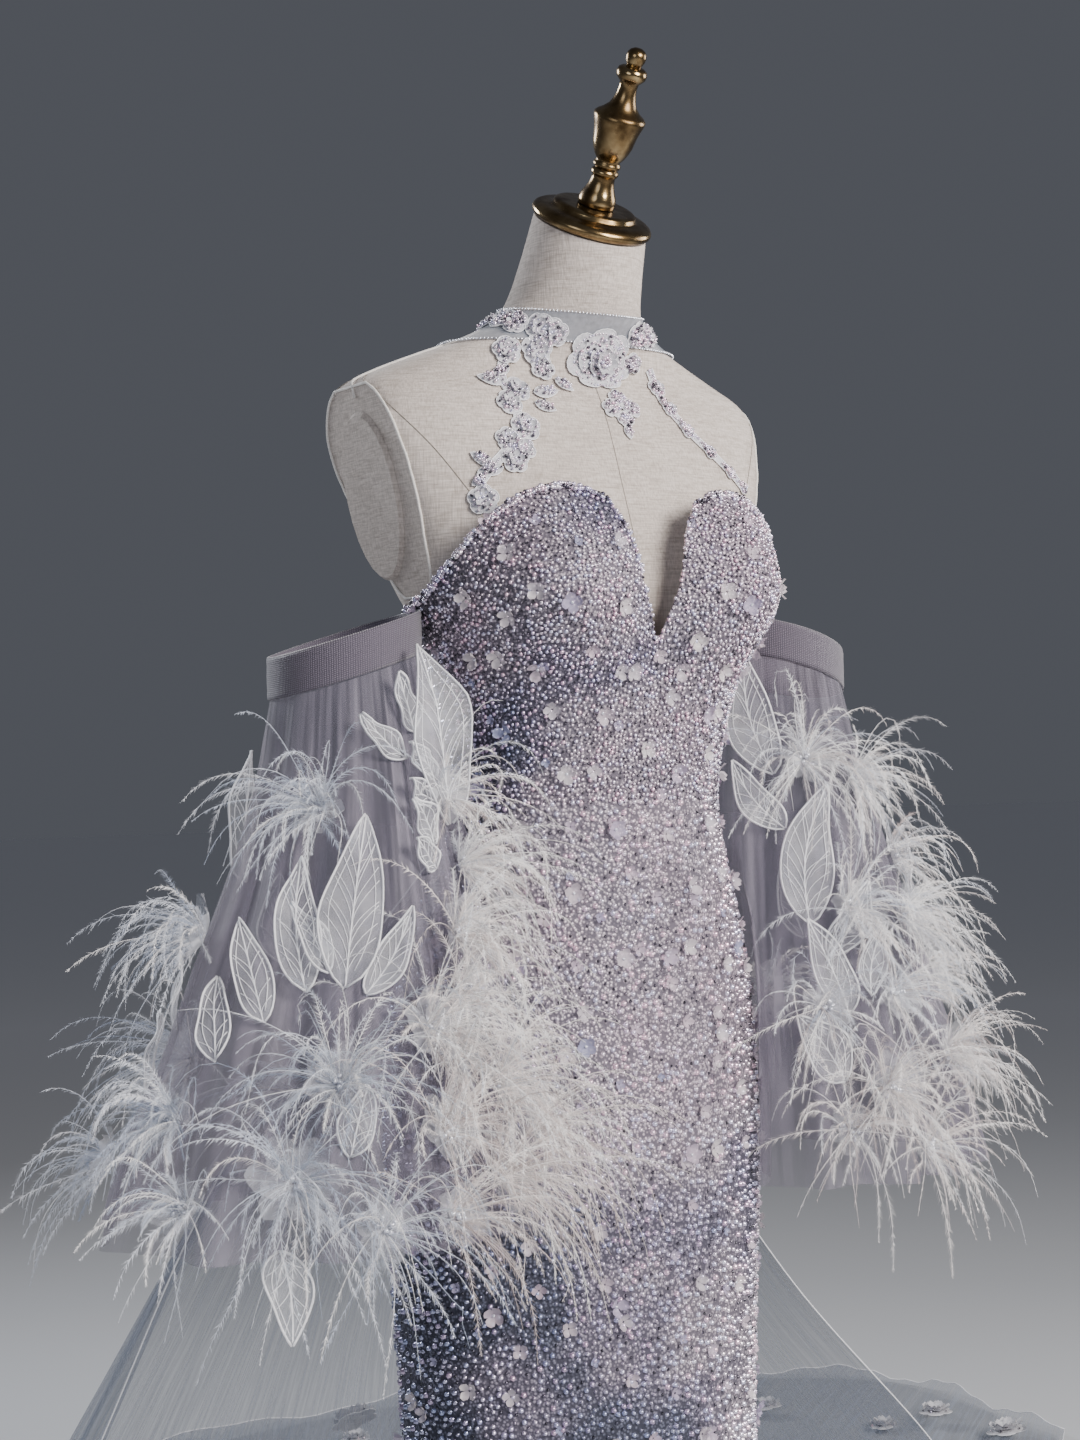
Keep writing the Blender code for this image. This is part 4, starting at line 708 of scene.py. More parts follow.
def item_object(name, points, faces):
    """A small thing to be copied; it is removed once it has been."""
    made = bpy.data.objects.new(name, mesh_of(name, points, faces, turn_out=True))
    made.data.shade_smooth()
    bpy.context.scene.collection.objects.link(made)
    return made


def cut_bead(*rings):
    """A cut-glass bead one unit in radius, flat on top, from its (radius, height) rings."""
    sides = 5
    made = [(radius * math.cos(math.tau * k / sides), radius * math.sin(math.tau * k / sides), height)
            for radius, height in rings for k in range(sides)]
    top = tuple(range(len(made) - sides, len(made)))
    return made, [*grid_faces(len(rings), sides, closed=True), top]


def tint_of(tree):
    """The tint of its own, from 0 to 1, that each small piece of a mesh has."""
    return put_node(tree, "ShaderNodeAttribute", attribute_name="tint").outputs["Fac"]


glass, tree, shader = new_finish("bead_glass")
tint = tint_of(tree)
patches_and_painted_shade = colour_patches_and_painted_shade(tree)
# the dark blue-grey end of this ramp carries the painted shade of the gown's right side and hem, partly its
# slate colour
tone_with_painted_shade = ramp_of(tree, patches_and_painted_shade, (0.36, (0.44, 0.46, 0.60)), (0.46, (0.80, 0.72, 0.86)),
                     (0.55, (0.98, 0.90, 0.96)), (0.68, (1.0, 0.87, 0.94)))
own_tone = ramp_of(tree, tint, (0.0, (0.03, 0.03, 0.04)), (0.14, (0.10, 0.095, 0.12)),
                   (0.26, (0.60, 0.57, 0.61)), (0.52, (1.0, 0.98, 1.0)), (0.84, (0.76, 0.84, 1.0)),
                   (0.94, (1.0, 0.80, 0.88)))
feed(tree, shader, Base_Color=mixed(tree, 1.0, tone_with_painted_shade, own_tone, "MULTIPLY"), Metallic=0.7,
     Coat_Weight=0.6, Coat_Roughness=0.08,
     Roughness=ramp_of(tree, tint, (0.0, 0.14), (1.0, 0.26)))
sowing = scatter_group("sow_over_surface")
round_bead = item_object("round_bead_item", *cut_bead((0.72, -0.10), (1.0, 0.52), (0.55, 1.12)))
low_bead = item_object("low_bead_item", *cut_bead((1.0, -0.15), (0.60, 0.85)))
smallest_bead, largest_bead = 0.62, 1.15
for name, wall, low, high, item, spacing, radius, seed in (
        ("gown_bodice_beads", "front", waist_height, 1.40, round_bead, 0.0035, 0.0020, 3),
        ("gown_skirt_beads", "front", 0.0, waist_height, low_bead, 0.0054, 0.0026, 4),
        ("gown_back_beads", "back", 0.0, 1.40, low_bead, 0.0080, 0.0030, 5)):
    mesh = grown(name, gown_carrier(name, wall, low, high), sowing, Item=item, Finish=glass, Spacing=spacing,
                 Smallest=radius * smallest_bead, Largest=radius * largest_bead, Seed=seed)
    new_piece(name, mesh, glass, "beadwork")
bpy.data.objects.remove(round_bead)
bpy.data.objects.remove(low_bead)

# Edge of the gown. The top edge is finished with two crowded rows of larger beads, which make the
# rough, glittering line of the neckline.
def dome(radius, sides, rings):
    """A small round bead or crystal that sits on z = 0."""
    made, faces = [Vector((0, 0, radius * 1.6))], []
    for r in range(1, rings + 1):
        lean = math.pi * 0.72 * r / rings
        for k in range(sides):
            turn = math.tau * k / sides
            made.append(Vector((math.cos(turn) * math.sin(lean), math.sin(turn) * math.sin(lean),
                                0.6 + math.cos(lean))) * radius)
    for k in range(sides):
        n = (k + 1) % sides
        faces.append((0, 1 + k, 1 + n))
        for r in range(rings - 1):
            a, b = 1 + r * sides, 1 + (r + 1) * sides
            faces.append((a + k, b + k, b + n, a + n))
    return made, faces


def settled_on(points, place, normal, spin=0.0):
    """Points about +Z moved to a place, with +Z along its normal."""
    side = normal.orthogonal().normalized()
    other = normal.cross(side)
    cos, sin = math.cos(spin), math.sin(spin)
    return [place + side * (p[0] * cos - p[1] * sin) + other * (p[0] * sin + p[1] * cos) + normal * p[2]
            for p in map(Vector, points)]


def sew_bead(gather, radius, place, normal, tint=0.5, rings=2):
    """Adds one round bead or crystal, with a tint of its own."""
    points, faces = dome(radius, 6, rings)
    gather.add(settled_on(points, place, normal), faces, tint)


edge_beads, edge_row_drop, edge_bead_radius = Gathered(), 0.0030, 0.0025
rng = np.random.default_rng(15)
for low, high, count in ((-90, 90, 250), (90, 270, 120)):
    for row in range(2):
        for k in range(count):
            angle = math.radians(low + (high - low) * (k + 0.5 * row + rng.uniform(-0.2, 0.2)) / count)
            top = edge_height((angle + math.pi) % math.tau - math.pi)
            height = top - edge_row_drop * row + rng.normal(0, 0.0007)
            normal = outward(gown_point, angle, height)
            seat = gown_point(angle, height) + normal * (gown_cloth * (0.5 + 0.6 * row))
            leaned = (normal + Vector((0, 0, 0.9 * (1 - row)))).normalized()
            sew_bead(edge_beads, edge_bead_radius * rng.uniform(0.6, 1.15), seat, leaned, rng.uniform(0, 1))
edge_beads.piece("gown_edge_beads", glass, "beadwork")

# Flowers of the gown. Small petal flowers, cut from a thin white film with lilac, blue and rose
# lights, are sewn over the beads from the bust to the hem, the larger ones through a crystal.
petal_white, tree, shader = new_finish("petal_white")
tint = tint_of(tree)
petal_tone = ramp_of(tree, tint, (0.0, (0.36, 0.40, 0.60)), (0.22, (0.50, 0.44, 0.60)),
                     (0.5, (0.66, 0.53, 0.60)), (0.75, (0.68, 0.63, 0.67)), (1.0, (0.80, 0.73, 0.73)))
shaded = ramp_of(tree, noise_of(tree, 90.0), (0.35, (0.82, 0.80, 0.86)), (0.65, 1.0))
feed(tree, shader, Roughness=0.45, Sheen_Weight=0.2, Alpha=0.66,
     Base_Color=mixed(tree, 1.0, petal_tone, shaded, "MULTIPLY"))
bumped(tree, shader, noise_of(tree, 420.0), 0.3, 0.0006)


def petals(count, inner, outer, width, cup, rise, steps=4, shift=0.0):
    """A ring of cupped petals about +Z, each a small patch."""
    made, faces = [], []
    for k in range(count):
        bearing = math.tau * (k + shift) / count
        out = Vector((math.cos(bearing), math.sin(bearing), 0))
        side = Vector((-out.y, out.x, 0))
        start = len(made)
        for r in range(steps + 1):
            s = r / steps
            half = width / 2 * float(np.interp(s, (0, 0.3, 0.65, 0.85, 1), (0.2, 0.72, 1.0, 0.86, 0.42)))
            for c in (-1, 0, 1):
                reach = inner + (outer - inner) * (s - 0.08 * abs(c) * s)
                made.append(out * reach + side * half * c
                            + Vector((0, 0, rise + cup * s * s + (0.18 * abs(c) + 0.02 * k) * width * s)))
        for r in range(steps):
            for c in range(2):
                a = start + r * 3 + c
                faces.append((a, a + 3, a + 4, a + 1))
    return made, faces


# the larger flowers sit in every fifth field of a net of rows and columns; the bodice's rows are
# shares of the way down from the top edge to the waist, and the skirt's are heights
bodice_rows = (0.0, 0.14, 0.29, 0.45, 0.62, 0.81, 1.0)
skirt_rows = [0.970, 0.910, 0.850, 0.760, 0.640, 0.510, 0.380, 0.250, 0.120, 0.0]
front_degrees = (-90, -82, -74, -65, -56, -47, -38, -30, -22, -15, -9, -4.5, -1.5, 0, 1.5, 4.5, 9, 15, 22, 30,
                 38, 47, 56, 65, 74, 82, 90)
back_degrees = np.linspace(90, 270, 15)
narrowest_field, flower_rows = 3.2, len(bodice_rows) + len(skirt_rows) - 1
flowers, crystals = Gathered(), Gathered()
rng = np.random.default_rng(21)
flower_shapes = [petals(count, 0.0008, 0.0094, width, cup, 0.0012)
                 for count, width, cup in ((5, 0.0084, 0.0036), (4, 0.0098, 0.0044), (3, 0.0104, 0.0052))]
flower_heart = 0.0017
for degrees, first_row in ((front_degrees, 2), (back_degrees, 8)):
    for r in range(first_row, flower_rows):
        for c in range((3 * r) % 5 + 1, len(degrees) - 2, 5):
            if degrees[c + 1] - degrees[c] < narrowest_field:
                continue
            angle = math.radians((degrees[c] + degrees[c + 1]) / 2)
            top = edge_height(angle)
            heights = [top + (waist_height - top) * share for share in bodice_rows] + skirt_rows
            height = (heights[r] + heights[r + 1]) / 2
            normal = outward(gown_point, angle, height)
            place = gown_point(angle, height) + normal * (gown_cloth + 0.0004)
            spin = rng.uniform(0, math.tau)
            shape, faces = flower_shapes[int(rng.integers(0, 3))]
            leaned = (normal + Vector(rng.normal(0, 0.16, 3))).normalized()
            flowers.add(settled_on(shape, place + normal * 0.0008, leaned, spin), faces, rng.uniform(0, 1))
            sew_bead(crystals, flower_heart, place + normal * 0.0012, normal)
flowers.piece("gown_flowers", petal_white, "beaded_lace")

petal_item = item_object("petal_item", *petals(4, 0.0008, 0.0076, 0.0072, 0.0034, 0.0014, steps=3))
for wall, spacing, seed in (("front", 0.036, 8), ("back", 0.046, 9)):
    name = f"gown_{wall}_petals"
    mesh = grown(name, gown_carrier(name, wall, -1.0, 1.27), sowing, Item=petal_item, Finish=petal_white,
                 Spacing=spacing, Smallest=0.55, Largest=1.25, Seed=seed)
    new_piece(name, mesh, petal_white, "beaded_lace")
bpy.data.objects.remove(petal_item)

# Centre-back zip. A fine coil on a mauve tape, with its slider at the top, closes the back.
zip_tape = mottled_finish("zip_tape", (0.36, 0.33, 0.40), (0.50, 0.46, 0.54), 1.0, (1500, 1500, 700),
                          Roughness=0.75)
tape_grid, zip_line = [], []
for height in np.linspace(1.157, 0.851, 60):
    normal = outward(gown_point, math.pi, height)
    middle = gown_point(math.pi, height) + normal * (gown_cloth + 0.0012)
    tape_grid.append([middle + Vector((x, 0, 0)) for x in (-0.004, -0.002, 0.0, 0.002, 0.004)])
    zip_line.append(middle + normal * 0.0004)
tape = new_piece("zip_tape", grid_mesh("zip_tape", tape_grid), zip_tape, "band_tulle", "gown_back_zip")
tape_wall = tape.modifiers.new("wall", "SOLIDIFY")
tape_wall.thickness, tape_wall.offset = 0.0007, 0.0


def string_group(name):
    """A node group that sets an item along a path, evenly, with its X along the path."""
    group, given = new_group(name, Step="Float")
    line = put_node(group, "GeometryNodeMeshToCurve", {"Mesh": given["Geometry"]})
    spaced = put_node(group, "GeometryNodeResampleCurve", {
        "Curve": line.outputs["Curve"], "Length": given["Step"]}, mode="LENGTH")
    tangent = put_node(group, "GeometryNodeInputTangent")
    turned = put_node(group, "FunctionNodeAlignRotationToVector", {"Vector": tangent.outputs[0]}, axis="X")
    item = put_node(group, "GeometryNodeObjectInfo", {"Object": given["Item"]})
    copies = put_node(group, "GeometryNodeInstanceOnPoints", {
        "Points": spaced.outputs["Curve"], "Instance": item.outputs["Geometry"],
        "Rotation": turned.outputs["Rotation"]})
    return end_group(group, copies.outputs["Instances"], given["Finish"])


def path_mesh(name, *lines):
    """Edges along one or more paths."""
    made, edges = [], []
    for line in lines:
        edges += [(len(made) + k, len(made) + k + 1) for k in range(len(line) - 1)]
        made += [tuple(p) for p in line]
    mesh = bpy.data.meshes.new(name)
    mesh.from_pydata(made, edges, [])
    return mesh


stringing = string_group("set_along_path")
nylon = mottled_finish("zip_nylon", (0.40, 0.37, 0.45), (0.52, 0.48, 0.57), 500.0, Roughness=0.4)
tooth_corners = [(x * 0.00045, y * 0.0016, z * 0.0005) for x in (-1, 1) for y in (-1, 1) for z in (-1, 1)]
tooth_faces = [(0, 1, 3, 2), (4, 6, 7, 5), (0, 4, 5, 1), (2, 3, 7, 6), (0, 2, 6, 4), (1, 5, 7, 3)]
tooth = item_object("tooth_item", tooth_corners, tooth_faces)
teeth = grown("zip_teeth", path_mesh("zip_path", zip_line[3:]), stringing, Item=tooth, Finish=nylon,
              Step=0.0016)
new_piece("zip_teeth", teeth, nylon, "band_tulle")
bpy.data.objects.remove(tooth)
slider = Gathered()
slide_place = zip_line[1]
slider.add(*tube([slide_place + Vector((0, 0.0006, z)) for z in (0.004, 0.001, -0.004)],
                 [0.0022, 0.0030, 0.0022], 8))
slider.add(*tube([slide_place + Vector((0, 0.0032, -0.001)), slide_place + Vector((0, 0.0034, -0.016)),
                  slide_place + Vector((0, 0.0030, -0.021))], [0.0009, 0.0015, 0.0010], 6))
slider.piece("zip_slider", steel, "band_tulle")

# Bands of the sleeves. A stiff, coarsely woven band, folded double and made to grip the upper arm,
# carries the gathers of each bell; it stands against the gown's side.
band_x, band_y, band_radius, band_height, band_top = 0.2376, 0.020, 0.0665, 0.037, 1.173
band_slope_out, band_slope_back = 0.308, 0.049
band_columns, band_rows, band_swell, selvedge_swell = 120, 11, 0.0006, 0.0004
band_weave, tree, shader = new_finish("band_weave")
coordinates = put_node(tree, "ShaderNodeTexCoord")
ribs = [put_node(tree, "ShaderNodeTexWave", {
    "Vector": coordinates.outputs["UV"], "Scale": scale, "Distortion": 1.2, "Detail": 2.0},
    wave_type="BANDS", bands_direction=direction).outputs["Fac"]
    for scale, direction in ((150.0, "X"), (190.0, "Y"))]
weave = calculated(tree, "MULTIPLY", *ribs)
feed(tree, shader, Roughness=0.6, Sheen_Weight=0.5, Alpha=0.93,
     Base_Color=mixed(tree, weave, (0.070, 0.057, 0.083, 1), (0.21, 0.180, 0.235, 1)))
bumped(tree, shader, weave, 0.6, 0.0010)


def band_point(side, angle, height, radius):
    """A point of an arm band; angle is from the front towards the outer side."""
    out, away = radius * math.sin(angle), -radius * math.cos(angle)
    fall = -band_slope_out * out - band_slope_back * away
    return Vector((side * (band_x + out), band_y + away, height + fall))


sides = {"right": -1.0, "left": 1.0}
for name, side in sides.items():
    grid = []
    for r in range(band_rows):
        share = r / (band_rows - 1)
        swell = band_swell * math.sin(math.pi * share) + (selvedge_swell if r in (1, band_rows - 2) else 0.0)
        grid.append([band_point(side, side * math.tau * c / band_columns, band_top - band_height * share,
                                band_radius + 0.0003 + swell) for c in range(band_columns)])
    mesh = grid_mesh(f"band_{name}", grid, closed=True, flip=True)
    band = new_piece(f"sleeve_{name}_band_cloth", mesh, band_weave, "band_tulle", f"sleeve_{name}_band")
    wall = band.modifiers.new("wall", "SOLIDIFY")
    wall.thickness, wall.offset = 0.0011, 1.0

# Bells of the sleeves. Sheer lilac-grey tulle gathered into the band and falling in soft folds to
# a raw hem at the hip; where a bell meets the gown it lies against it.
bells = {
    "right": np.array((
        # drop, out, centre_y, height, half_out, half_y, fold
        (0.00, 0.000, 0.020, 1.1349, 0.0665, 0.0665, 0.0008),
        (0.15, 0.005, 0.010, 1.0600, 0.0800, 0.0780, 0.004),
        (0.35, 0.021, -0.010, 0.9550, 0.1060, 0.1000, 0.007),
        (0.60, 0.045, -0.040, 0.8200, 0.1480, 0.1300, 0.010),
        (0.80, 0.060, -0.058, 0.7520, 0.1740, 0.1480, 0.012),
        (1.00, 0.069, -0.070, 0.6800, 0.1920, 0.1620, 0.014),
    )),
    "left": np.array((
        (0.00, 0.000, 0.020, 1.1349, 0.0665, 0.0665, 0.0008),
        (0.15, 0.002, 0.018, 1.0600, 0.0800, 0.0780, 0.004),
        (0.35, 0.007, 0.014, 0.9550, 0.1000, 0.0980, 0.007),
        (0.60, 0.015, 0.008, 0.8300, 0.1280, 0.1180, 0.010),
        (0.80, 0.021, 0.002, 0.7450, 0.1440, 0.1320, 0.012),
        (1.00, 0.025, -0.004, 0.6600, 0.1560, 0.1420, 0.013),
    )),
}
bell_folds, bell_clear = 11, 0.007
bell_columns, bell_rows, bell_gathers = 220, 38, 0.0016


def gown_reach(x, y, height):
    """How far the gown's outer face is from its axis in the direction of a point."""
    _, half_width, front, back, centre_y, _, power = row_at(gown, height)
    away = y - centre_y
    depth = front if away < 0 else back
    reach = math.hypot(x, away)
    share = (abs(x) / reach / half_width) ** power + (abs(away) / reach / depth) ** power
    return share ** (-1 / power) + gown_cloth, reach, centre_y


def bell_point(name, angle, drop, gathers=0.0):
    """A point of a bell, in folds that deepen towards the hem, with finer gathers over them."""
    side = sides[name]
    _, out, centre_y, height, half_out, half_y, fold = row_at(bells[name], drop)
    wave = math.cos(bell_folds * angle + 0.9 * math.sin(2 * angle) + 1.5 * drop)
    swell = fold * wave * (0.8 + 0.3 * math.sin(3 * angle + side))
    if gathers:
        fine = 0.55 * math.cos(61 * angle + 2.4 * math.sin(4 * angle)) * math.exp(-7.0 * drop)
        fine += 1.5 * math.cos(17 * angle + 1.9 * math.sin(3 * angle + 1) + 5.0 * drop) * (0.30 + drop)
        fine += 0.7 * math.cos(31 * angle - 4.5 * drop + 2.0 * math.sin(2 * angle)) * (0.25 + 0.6 * drop)
        swell += gathers * fine * min(1.0, 12 * drop)
    aside = (half_out + swell) * math.sin(angle)
    away = -(half_y + swell) * math.cos(angle)
    fall = -(band_slope_out * aside + band_slope_back * away) * max(0.0, 1 - 2.2 * drop)
    x, y, z = side * (band_x + out + aside), centre_y + away, height + fall
    limit, reach, middle = gown_reach(x, y, z)
    limit += bell_clear + 0.5 * (fold + swell)
    if reach < limit and drop > 0:
        x, y = x * limit / reach, middle + (y - middle) * limit / reach
    return Vector((x, y, z))


sleeve_tulle, tree, shader = new_finish("sleeve_tulle")
creases = noise_of(tree, 1.0, (90, 5, 1), "UV", detail=4.0)
cloudy = noise_of(tree, 7.0)
density = calculated(tree, "MULTIPLY", creases, cloudy)
feed(tree, shader, Roughness=0.6, Sheen_Weight=0.35, Sheen_Roughness=0.4,
     Base_Color=ramp_of(tree, creases, (0.36, (0.120, 0.105, 0.145)), (0.62, (0.30, 0.270, 0.340))),
     Alpha=ramp_of(tree, density, (0.10, 0.27), (0.42, 0.56)))
bumped(tree, shader, creases, 0.25, 0.0012)
bell_trees = {}
for name, side in sides.items():
    grid = [[bell_point(name, side * math.tau * c / bell_columns, r / (bell_rows - 1), bell_gathers)
             for c in range(bell_columns)] for r in range(bell_rows)]
    mesh = grid_mesh(f"bell_{name}", grid, closed=True, flip=True)
    bell = new_piece(f"sleeve_{name}_bell_tulle", mesh, sleeve_tulle, "sleeve_tulle", f"sleeve_{name}_bell")
    bell_trees[name] = BVHTree.FromPolygons([v.co for v in mesh.vertices],
                                            [tuple(p.vertices) for p in mesh.polygons])

# Leaves of the sleeves. Cut from white organza, edged and veined with a bright satin thread, and
# caught down at the stalk so that the tips lift.
organza, tree, shader = new_finish("leaf_organza")
feed(tree, shader, Roughness=0.4, Sheen_Weight=0.4,
     Alpha=mottled(tree, noise_of(tree, 26.0), 0.16, 0.38),
     Base_Color=mottled(tree, noise_of(tree, 60.0), (0.64, 0.66, 0.73), (0.88, 0.88, 0.91)))
bumped(tree, shader, noise_of(tree, 300.0), 0.2, 0.0006)
satin_thread = mottled_finish("satin_thread", (0.84, 0.84, 0.88), (0.98, 0.98, 1.0), 900.0, Roughness=0.4,
                              Sheen_Weight=0.3)
leaves = {
    "right": (
        # angle, drop, length, width, lean, twist
        (322.0, 0.275, 0.156, 0.056, -12.0, 42.0), (341.0, 0.120, 0.052, 0.019, -26.0, 22.0),
        (350.0, 0.160, 0.056, 0.020, -52.0, 20.0), (338.0, 0.300, 0.046, 0.022, -44.0, 28.0),
        (24.0, 0.490, 0.150, 0.050, 4.0, 0.0), (38.0, 0.500, 0.116, 0.036, -8.0, 0.0),
        (50.0, 0.540, 0.092, 0.030, -22.0, -8.0), (64.0, 0.600, 0.076, 0.028, -14.0, -14.0),
        (150.0, 0.340, 0.116, 0.042, 8.0, 0.0),
    ),
    "left": (
        (318.0, 0.210, 0.118, 0.044, -10.0, 0.0), (330.0, 0.460, 0.132, 0.048, 12.0, 0.0),
        (343.0, 0.640, 0.098, 0.036, -20.0, 0.0), (110.0, 0.400, 0.116, 0.042, 8.0, 0.0),
        (205.0, 0.420, 0.106, 0.040, -6.0, 0.0),
    ),
}
# small leaves and sprays on the same stalks: angle, drop, length, width, lean, twist
sprays = {
    "right": (
        (330.0, 0.200, 0.046, 0.018, -58.0, 30.0), (334.0, 0.235, 0.040, 0.018, -72.0, 30.0),
        (338.0, 0.335, 0.040, 0.020, -64.0, 30.0), (30.0, 0.470, 0.070, 0.022, -30.0, 0.0),
        (16.0, 0.500, 0.080, 0.026, 26.0, 0.0), (20.0, 0.800, 0.060, 0.028, 12.0, 0.0),
        (350.0, 0.840, 0.058, 0.030, -16.0, 16.0), (110.0, 0.560, 0.080, 0.030, 10.0, 0.0),
        (128.0, 0.700, 0.074, 0.028, -12.0, 0.0), (180.0, 0.480, 0.080, 0.030, 6.0, 0.0),
        (37.0, 0.985, 0.074, 0.036, 168.0, 30.0),
    ),
    "left": (
        (322.0, 0.300, 0.080, 0.030, -34.0, 0.0), (338.0, 0.520, 0.078, 0.030, 34.0, 0.0),
        (352.0, 0.600, 0.070, 0.028, 20.0, 0.0), (336.0, 0.780, 0.074, 0.040, -30.0, 0.0),
        (60.0, 0.480, 0.080, 0.030, -8.0, 0.0), (140.0, 0.520, 0.080, 0.030, 8.0, 0.0),
    ),
}


def bell_seat(name, angle, drop):
    """A place on a bell with its outward, upward and sideways directions, folds smoothed out."""
    angle, wide, tall = math.radians(angle), math.radians(16), 0.10
    low, high = min(drop + tall, 1.0), max(drop - tall, 0.0)
    across = bell_point(name, angle + wide, drop) - bell_point(name, angle - wide, drop)
    down = bell_point(name, angle, low) - bell_point(name, angle, high)
    normal = down.cross(across).normalized() * sides[name]
    up = (-down - normal * -down.dot(normal)).normalized()
    return bell_point(name, angle, drop), normal, up, up.cross(normal)


def height_over(under, spots, normal, origin):
    """How high above origin, along normal, the highest surface under the spots lies."""
    heights = []
    for spot in spots:
        hit = under.ray_cast(spot + normal * 0.08, -normal, 0.13)
        if hit[0] is not None:
            heights.append((hit[0] - origin).dot(normal))
    return max(heights) if heights else 0.0


def leaf_shape(seat, length, width, lean, twist, under, rng):
    """The leaf's patch, and its edge and veins as threads."""
    place, normal, up, aside = seat
    tip, turn = math.radians(lean), math.radians(twist)
    along = up * math.cos(tip) + aside * math.sin(tip)
    level = along.cross(normal)
    steps, half_columns, fullness = 18, 5, 1.12
    shares = np.linspace(0, 1, steps)
    halves = [width / 2 * (0.03 + math.sin(math.pi * s ** 0.80) ** 0.85 * (1 - 0.25 * s)) * fullness
              for s in shares]
    floors = [height_over(under, [place + along * length * s + level * half * c / 3 for c in range(-3, 4)],
                          normal, place) for s, half in zip(shares, halves)]
    ripple, bend = rng.uniform(0, math.tau), rng.uniform(-0.09, 0.09) * length
    grid = []
    for k, (s, half) in enumerate(zip(shares, halves)):
        swing = turn * min(1.0, 0.35 + s)
        across = level * math.cos(swing) + normal * math.sin(swing)
        rise = max(floors[max(k - 2, 0):k + 3]) + 0.0016 + 0.016 * s ** 2 + half * abs(math.sin(swing))
        row = []
        for c in range(-half_columns, half_columns + 1):
            u = c / half_columns
            wavy = 1 + 0.07 * math.sin(8 * s + ripple + 3 * (u > 0))
            lift = half * 0.16 * abs(u) + 0.0024 * u * u * math.sin(10 * s + ripple + 2 * (u > 0))
            row.append(place + along * length * s + level * bend * math.sin(math.pi * s)
                       + across * half * u * wavy + normal * (rise + lift))
        grid.append(row)

    def spot(at, u):
        """A place on the leaf, at a share of its length and from edge to edge."""
        k = min(at * (steps - 1), steps - 1.001)
        c = min(max((u + 1) * half_columns, 0), 2 * half_columns - 0.001)
        r, q = int(k), int(c)
        first = grid[r][q].lerp(grid[r][q + 1], c - q)
        return first.lerp(grid[r + 1][q].lerp(grid[r + 1][q + 1], c - q), k - r)

    # the edge and the midrib, a second line inside the edge, and oblique veins from the midrib
    edge_thread, rib_thread, inner_thread, vein_thread, vein_spacing = 0.0012, 0.0009, 0.0005, 0.00042, 0.016
    threads = [([row[0] for row in grid], edge_thread), ([row[-1] for row in grid], edge_thread),
               ([row[half_columns] for row in grid], rib_thread)]
    inner = 0.72 + 0.06 * rng.uniform(-1, 1)
    for end in (-1, 1):
        line = []
        for j in range(12):
            bulge = 0.25 + 0.75 * math.sin(math.pi * (0.12 + 0.76 * j / 11))
            line.append(spot(0.10 + 0.80 * j / 11, end * inner * bulge))
        threads.append((line, inner_thread))
    count = max(4, int(length / vein_spacing))
    for k in range(count):
        start = 0.05 + 0.72 * k / count
        for end in (-1, 1):
            long = rng.uniform(0.16, 0.30)
            line = [spot(min(start + long * (j / 5) ** 0.8, 0.99), end * 0.86 * (j / 5) ** 1.5)
                    for j in range(6)]
            threads.append((line, vein_thread))
    return grid, [([p + normal * 0.0005 for p in line], radius) for line, radius in threads]


# the flat organza that each sleeve's leaves are cut from, and the area of the leaves alone
leaf_cuts = {"right": ((0.30, 0.17), 0.0386), "left": ((0.26, 0.15), 0.0285)}
for name in sides:
    rng = np.random.default_rng(31)
    cloth, thread = Gathered(), Gathered()
    for angle, drop, *form in leaves[name] + sprays[name]:
        grid, threads = leaf_shape(bell_seat(name, angle, drop), *form, bell_trees[name], rng)
        cloth.add([p for row in grid for p in row], grid_faces(len(grid), len(grid[0])))
        for line, radius in threads:
            thread.add(*tube(line, radius, 3))
    foliage = cloth.piece(f"leaves_{name}_organza", organza, "organza",
                          *[f"leaf_{name}_{k + 1:02d}" for k in range(len(leaves[name]))])
    size, area = leaf_cuts[name]
    thread.piece(f"leaves_{name}_thread", satin_thread, "organza")

# Feather clusters. Ostrich fronds, each a soft quill fringed with fine barbs, are bound in bunches
# and sewn to the bell through a rosette of organza petals with a few crystals in its middle.
feather, tree, shader = new_finish("ostrich_feather")
tint = tint_of(tree)
# the tint runs from a darker blue-grey, painted cool fill light and shade, through white to beige and a
# darker warm brown, painted warm key light and shade
feed(tree, shader, Roughness=0.75, Sheen_Weight=0.5, Sheen_Roughness=0.4,
     Base_Color=ramp_of(tree, tint, (0.0, (0.42, 0.47, 0.58)), (0.28, (0.70, 0.73, 0.80)),
                        (0.55, (0.97, 0.95, 0.94)), (0.78, (0.88, 0.81, 0.78)), (1.0, (0.58, 0.49, 0.47))))
clusters = {
    "right": (
        # angle, drop, length, petal
        (42.0, 0.220, 0.090, 0.026), (318.0, 0.340, 0.095, 0.030), (336.0, 0.430, 0.100, 0.030),
        (354.0, 0.560, 0.105, 0.032), (24.0, 0.640, 0.100, 0.030), (96.0, 0.420, 0.086, 0.032),
        (76.0, 0.740, 0.074, 0.032), (34.0, 0.860, 0.112, 0.036), (354.0, 0.760, 0.110, 0.030),
        (332.0, 0.680, 0.110, 0.030), (336.0, 0.890, 0.120, 0.030), (150.0, 0.640, 0.100, 0.030),
    ),
    "left": (
        (338.0, 0.180, 0.085, 0.026), (14.0, 0.200, 0.085, 0.026), (350.0, 0.440, 0.090, 0.030),
        (20.0, 0.460, 0.090, 0.030), (350.0, 0.800, 0.110, 0.034), (22.0, 0.740, 0.085, 0.030),
        (80.0, 0.600, 0.075, 0.030), (160.0, 0.640, 0.095, 0.030),
    ),
}
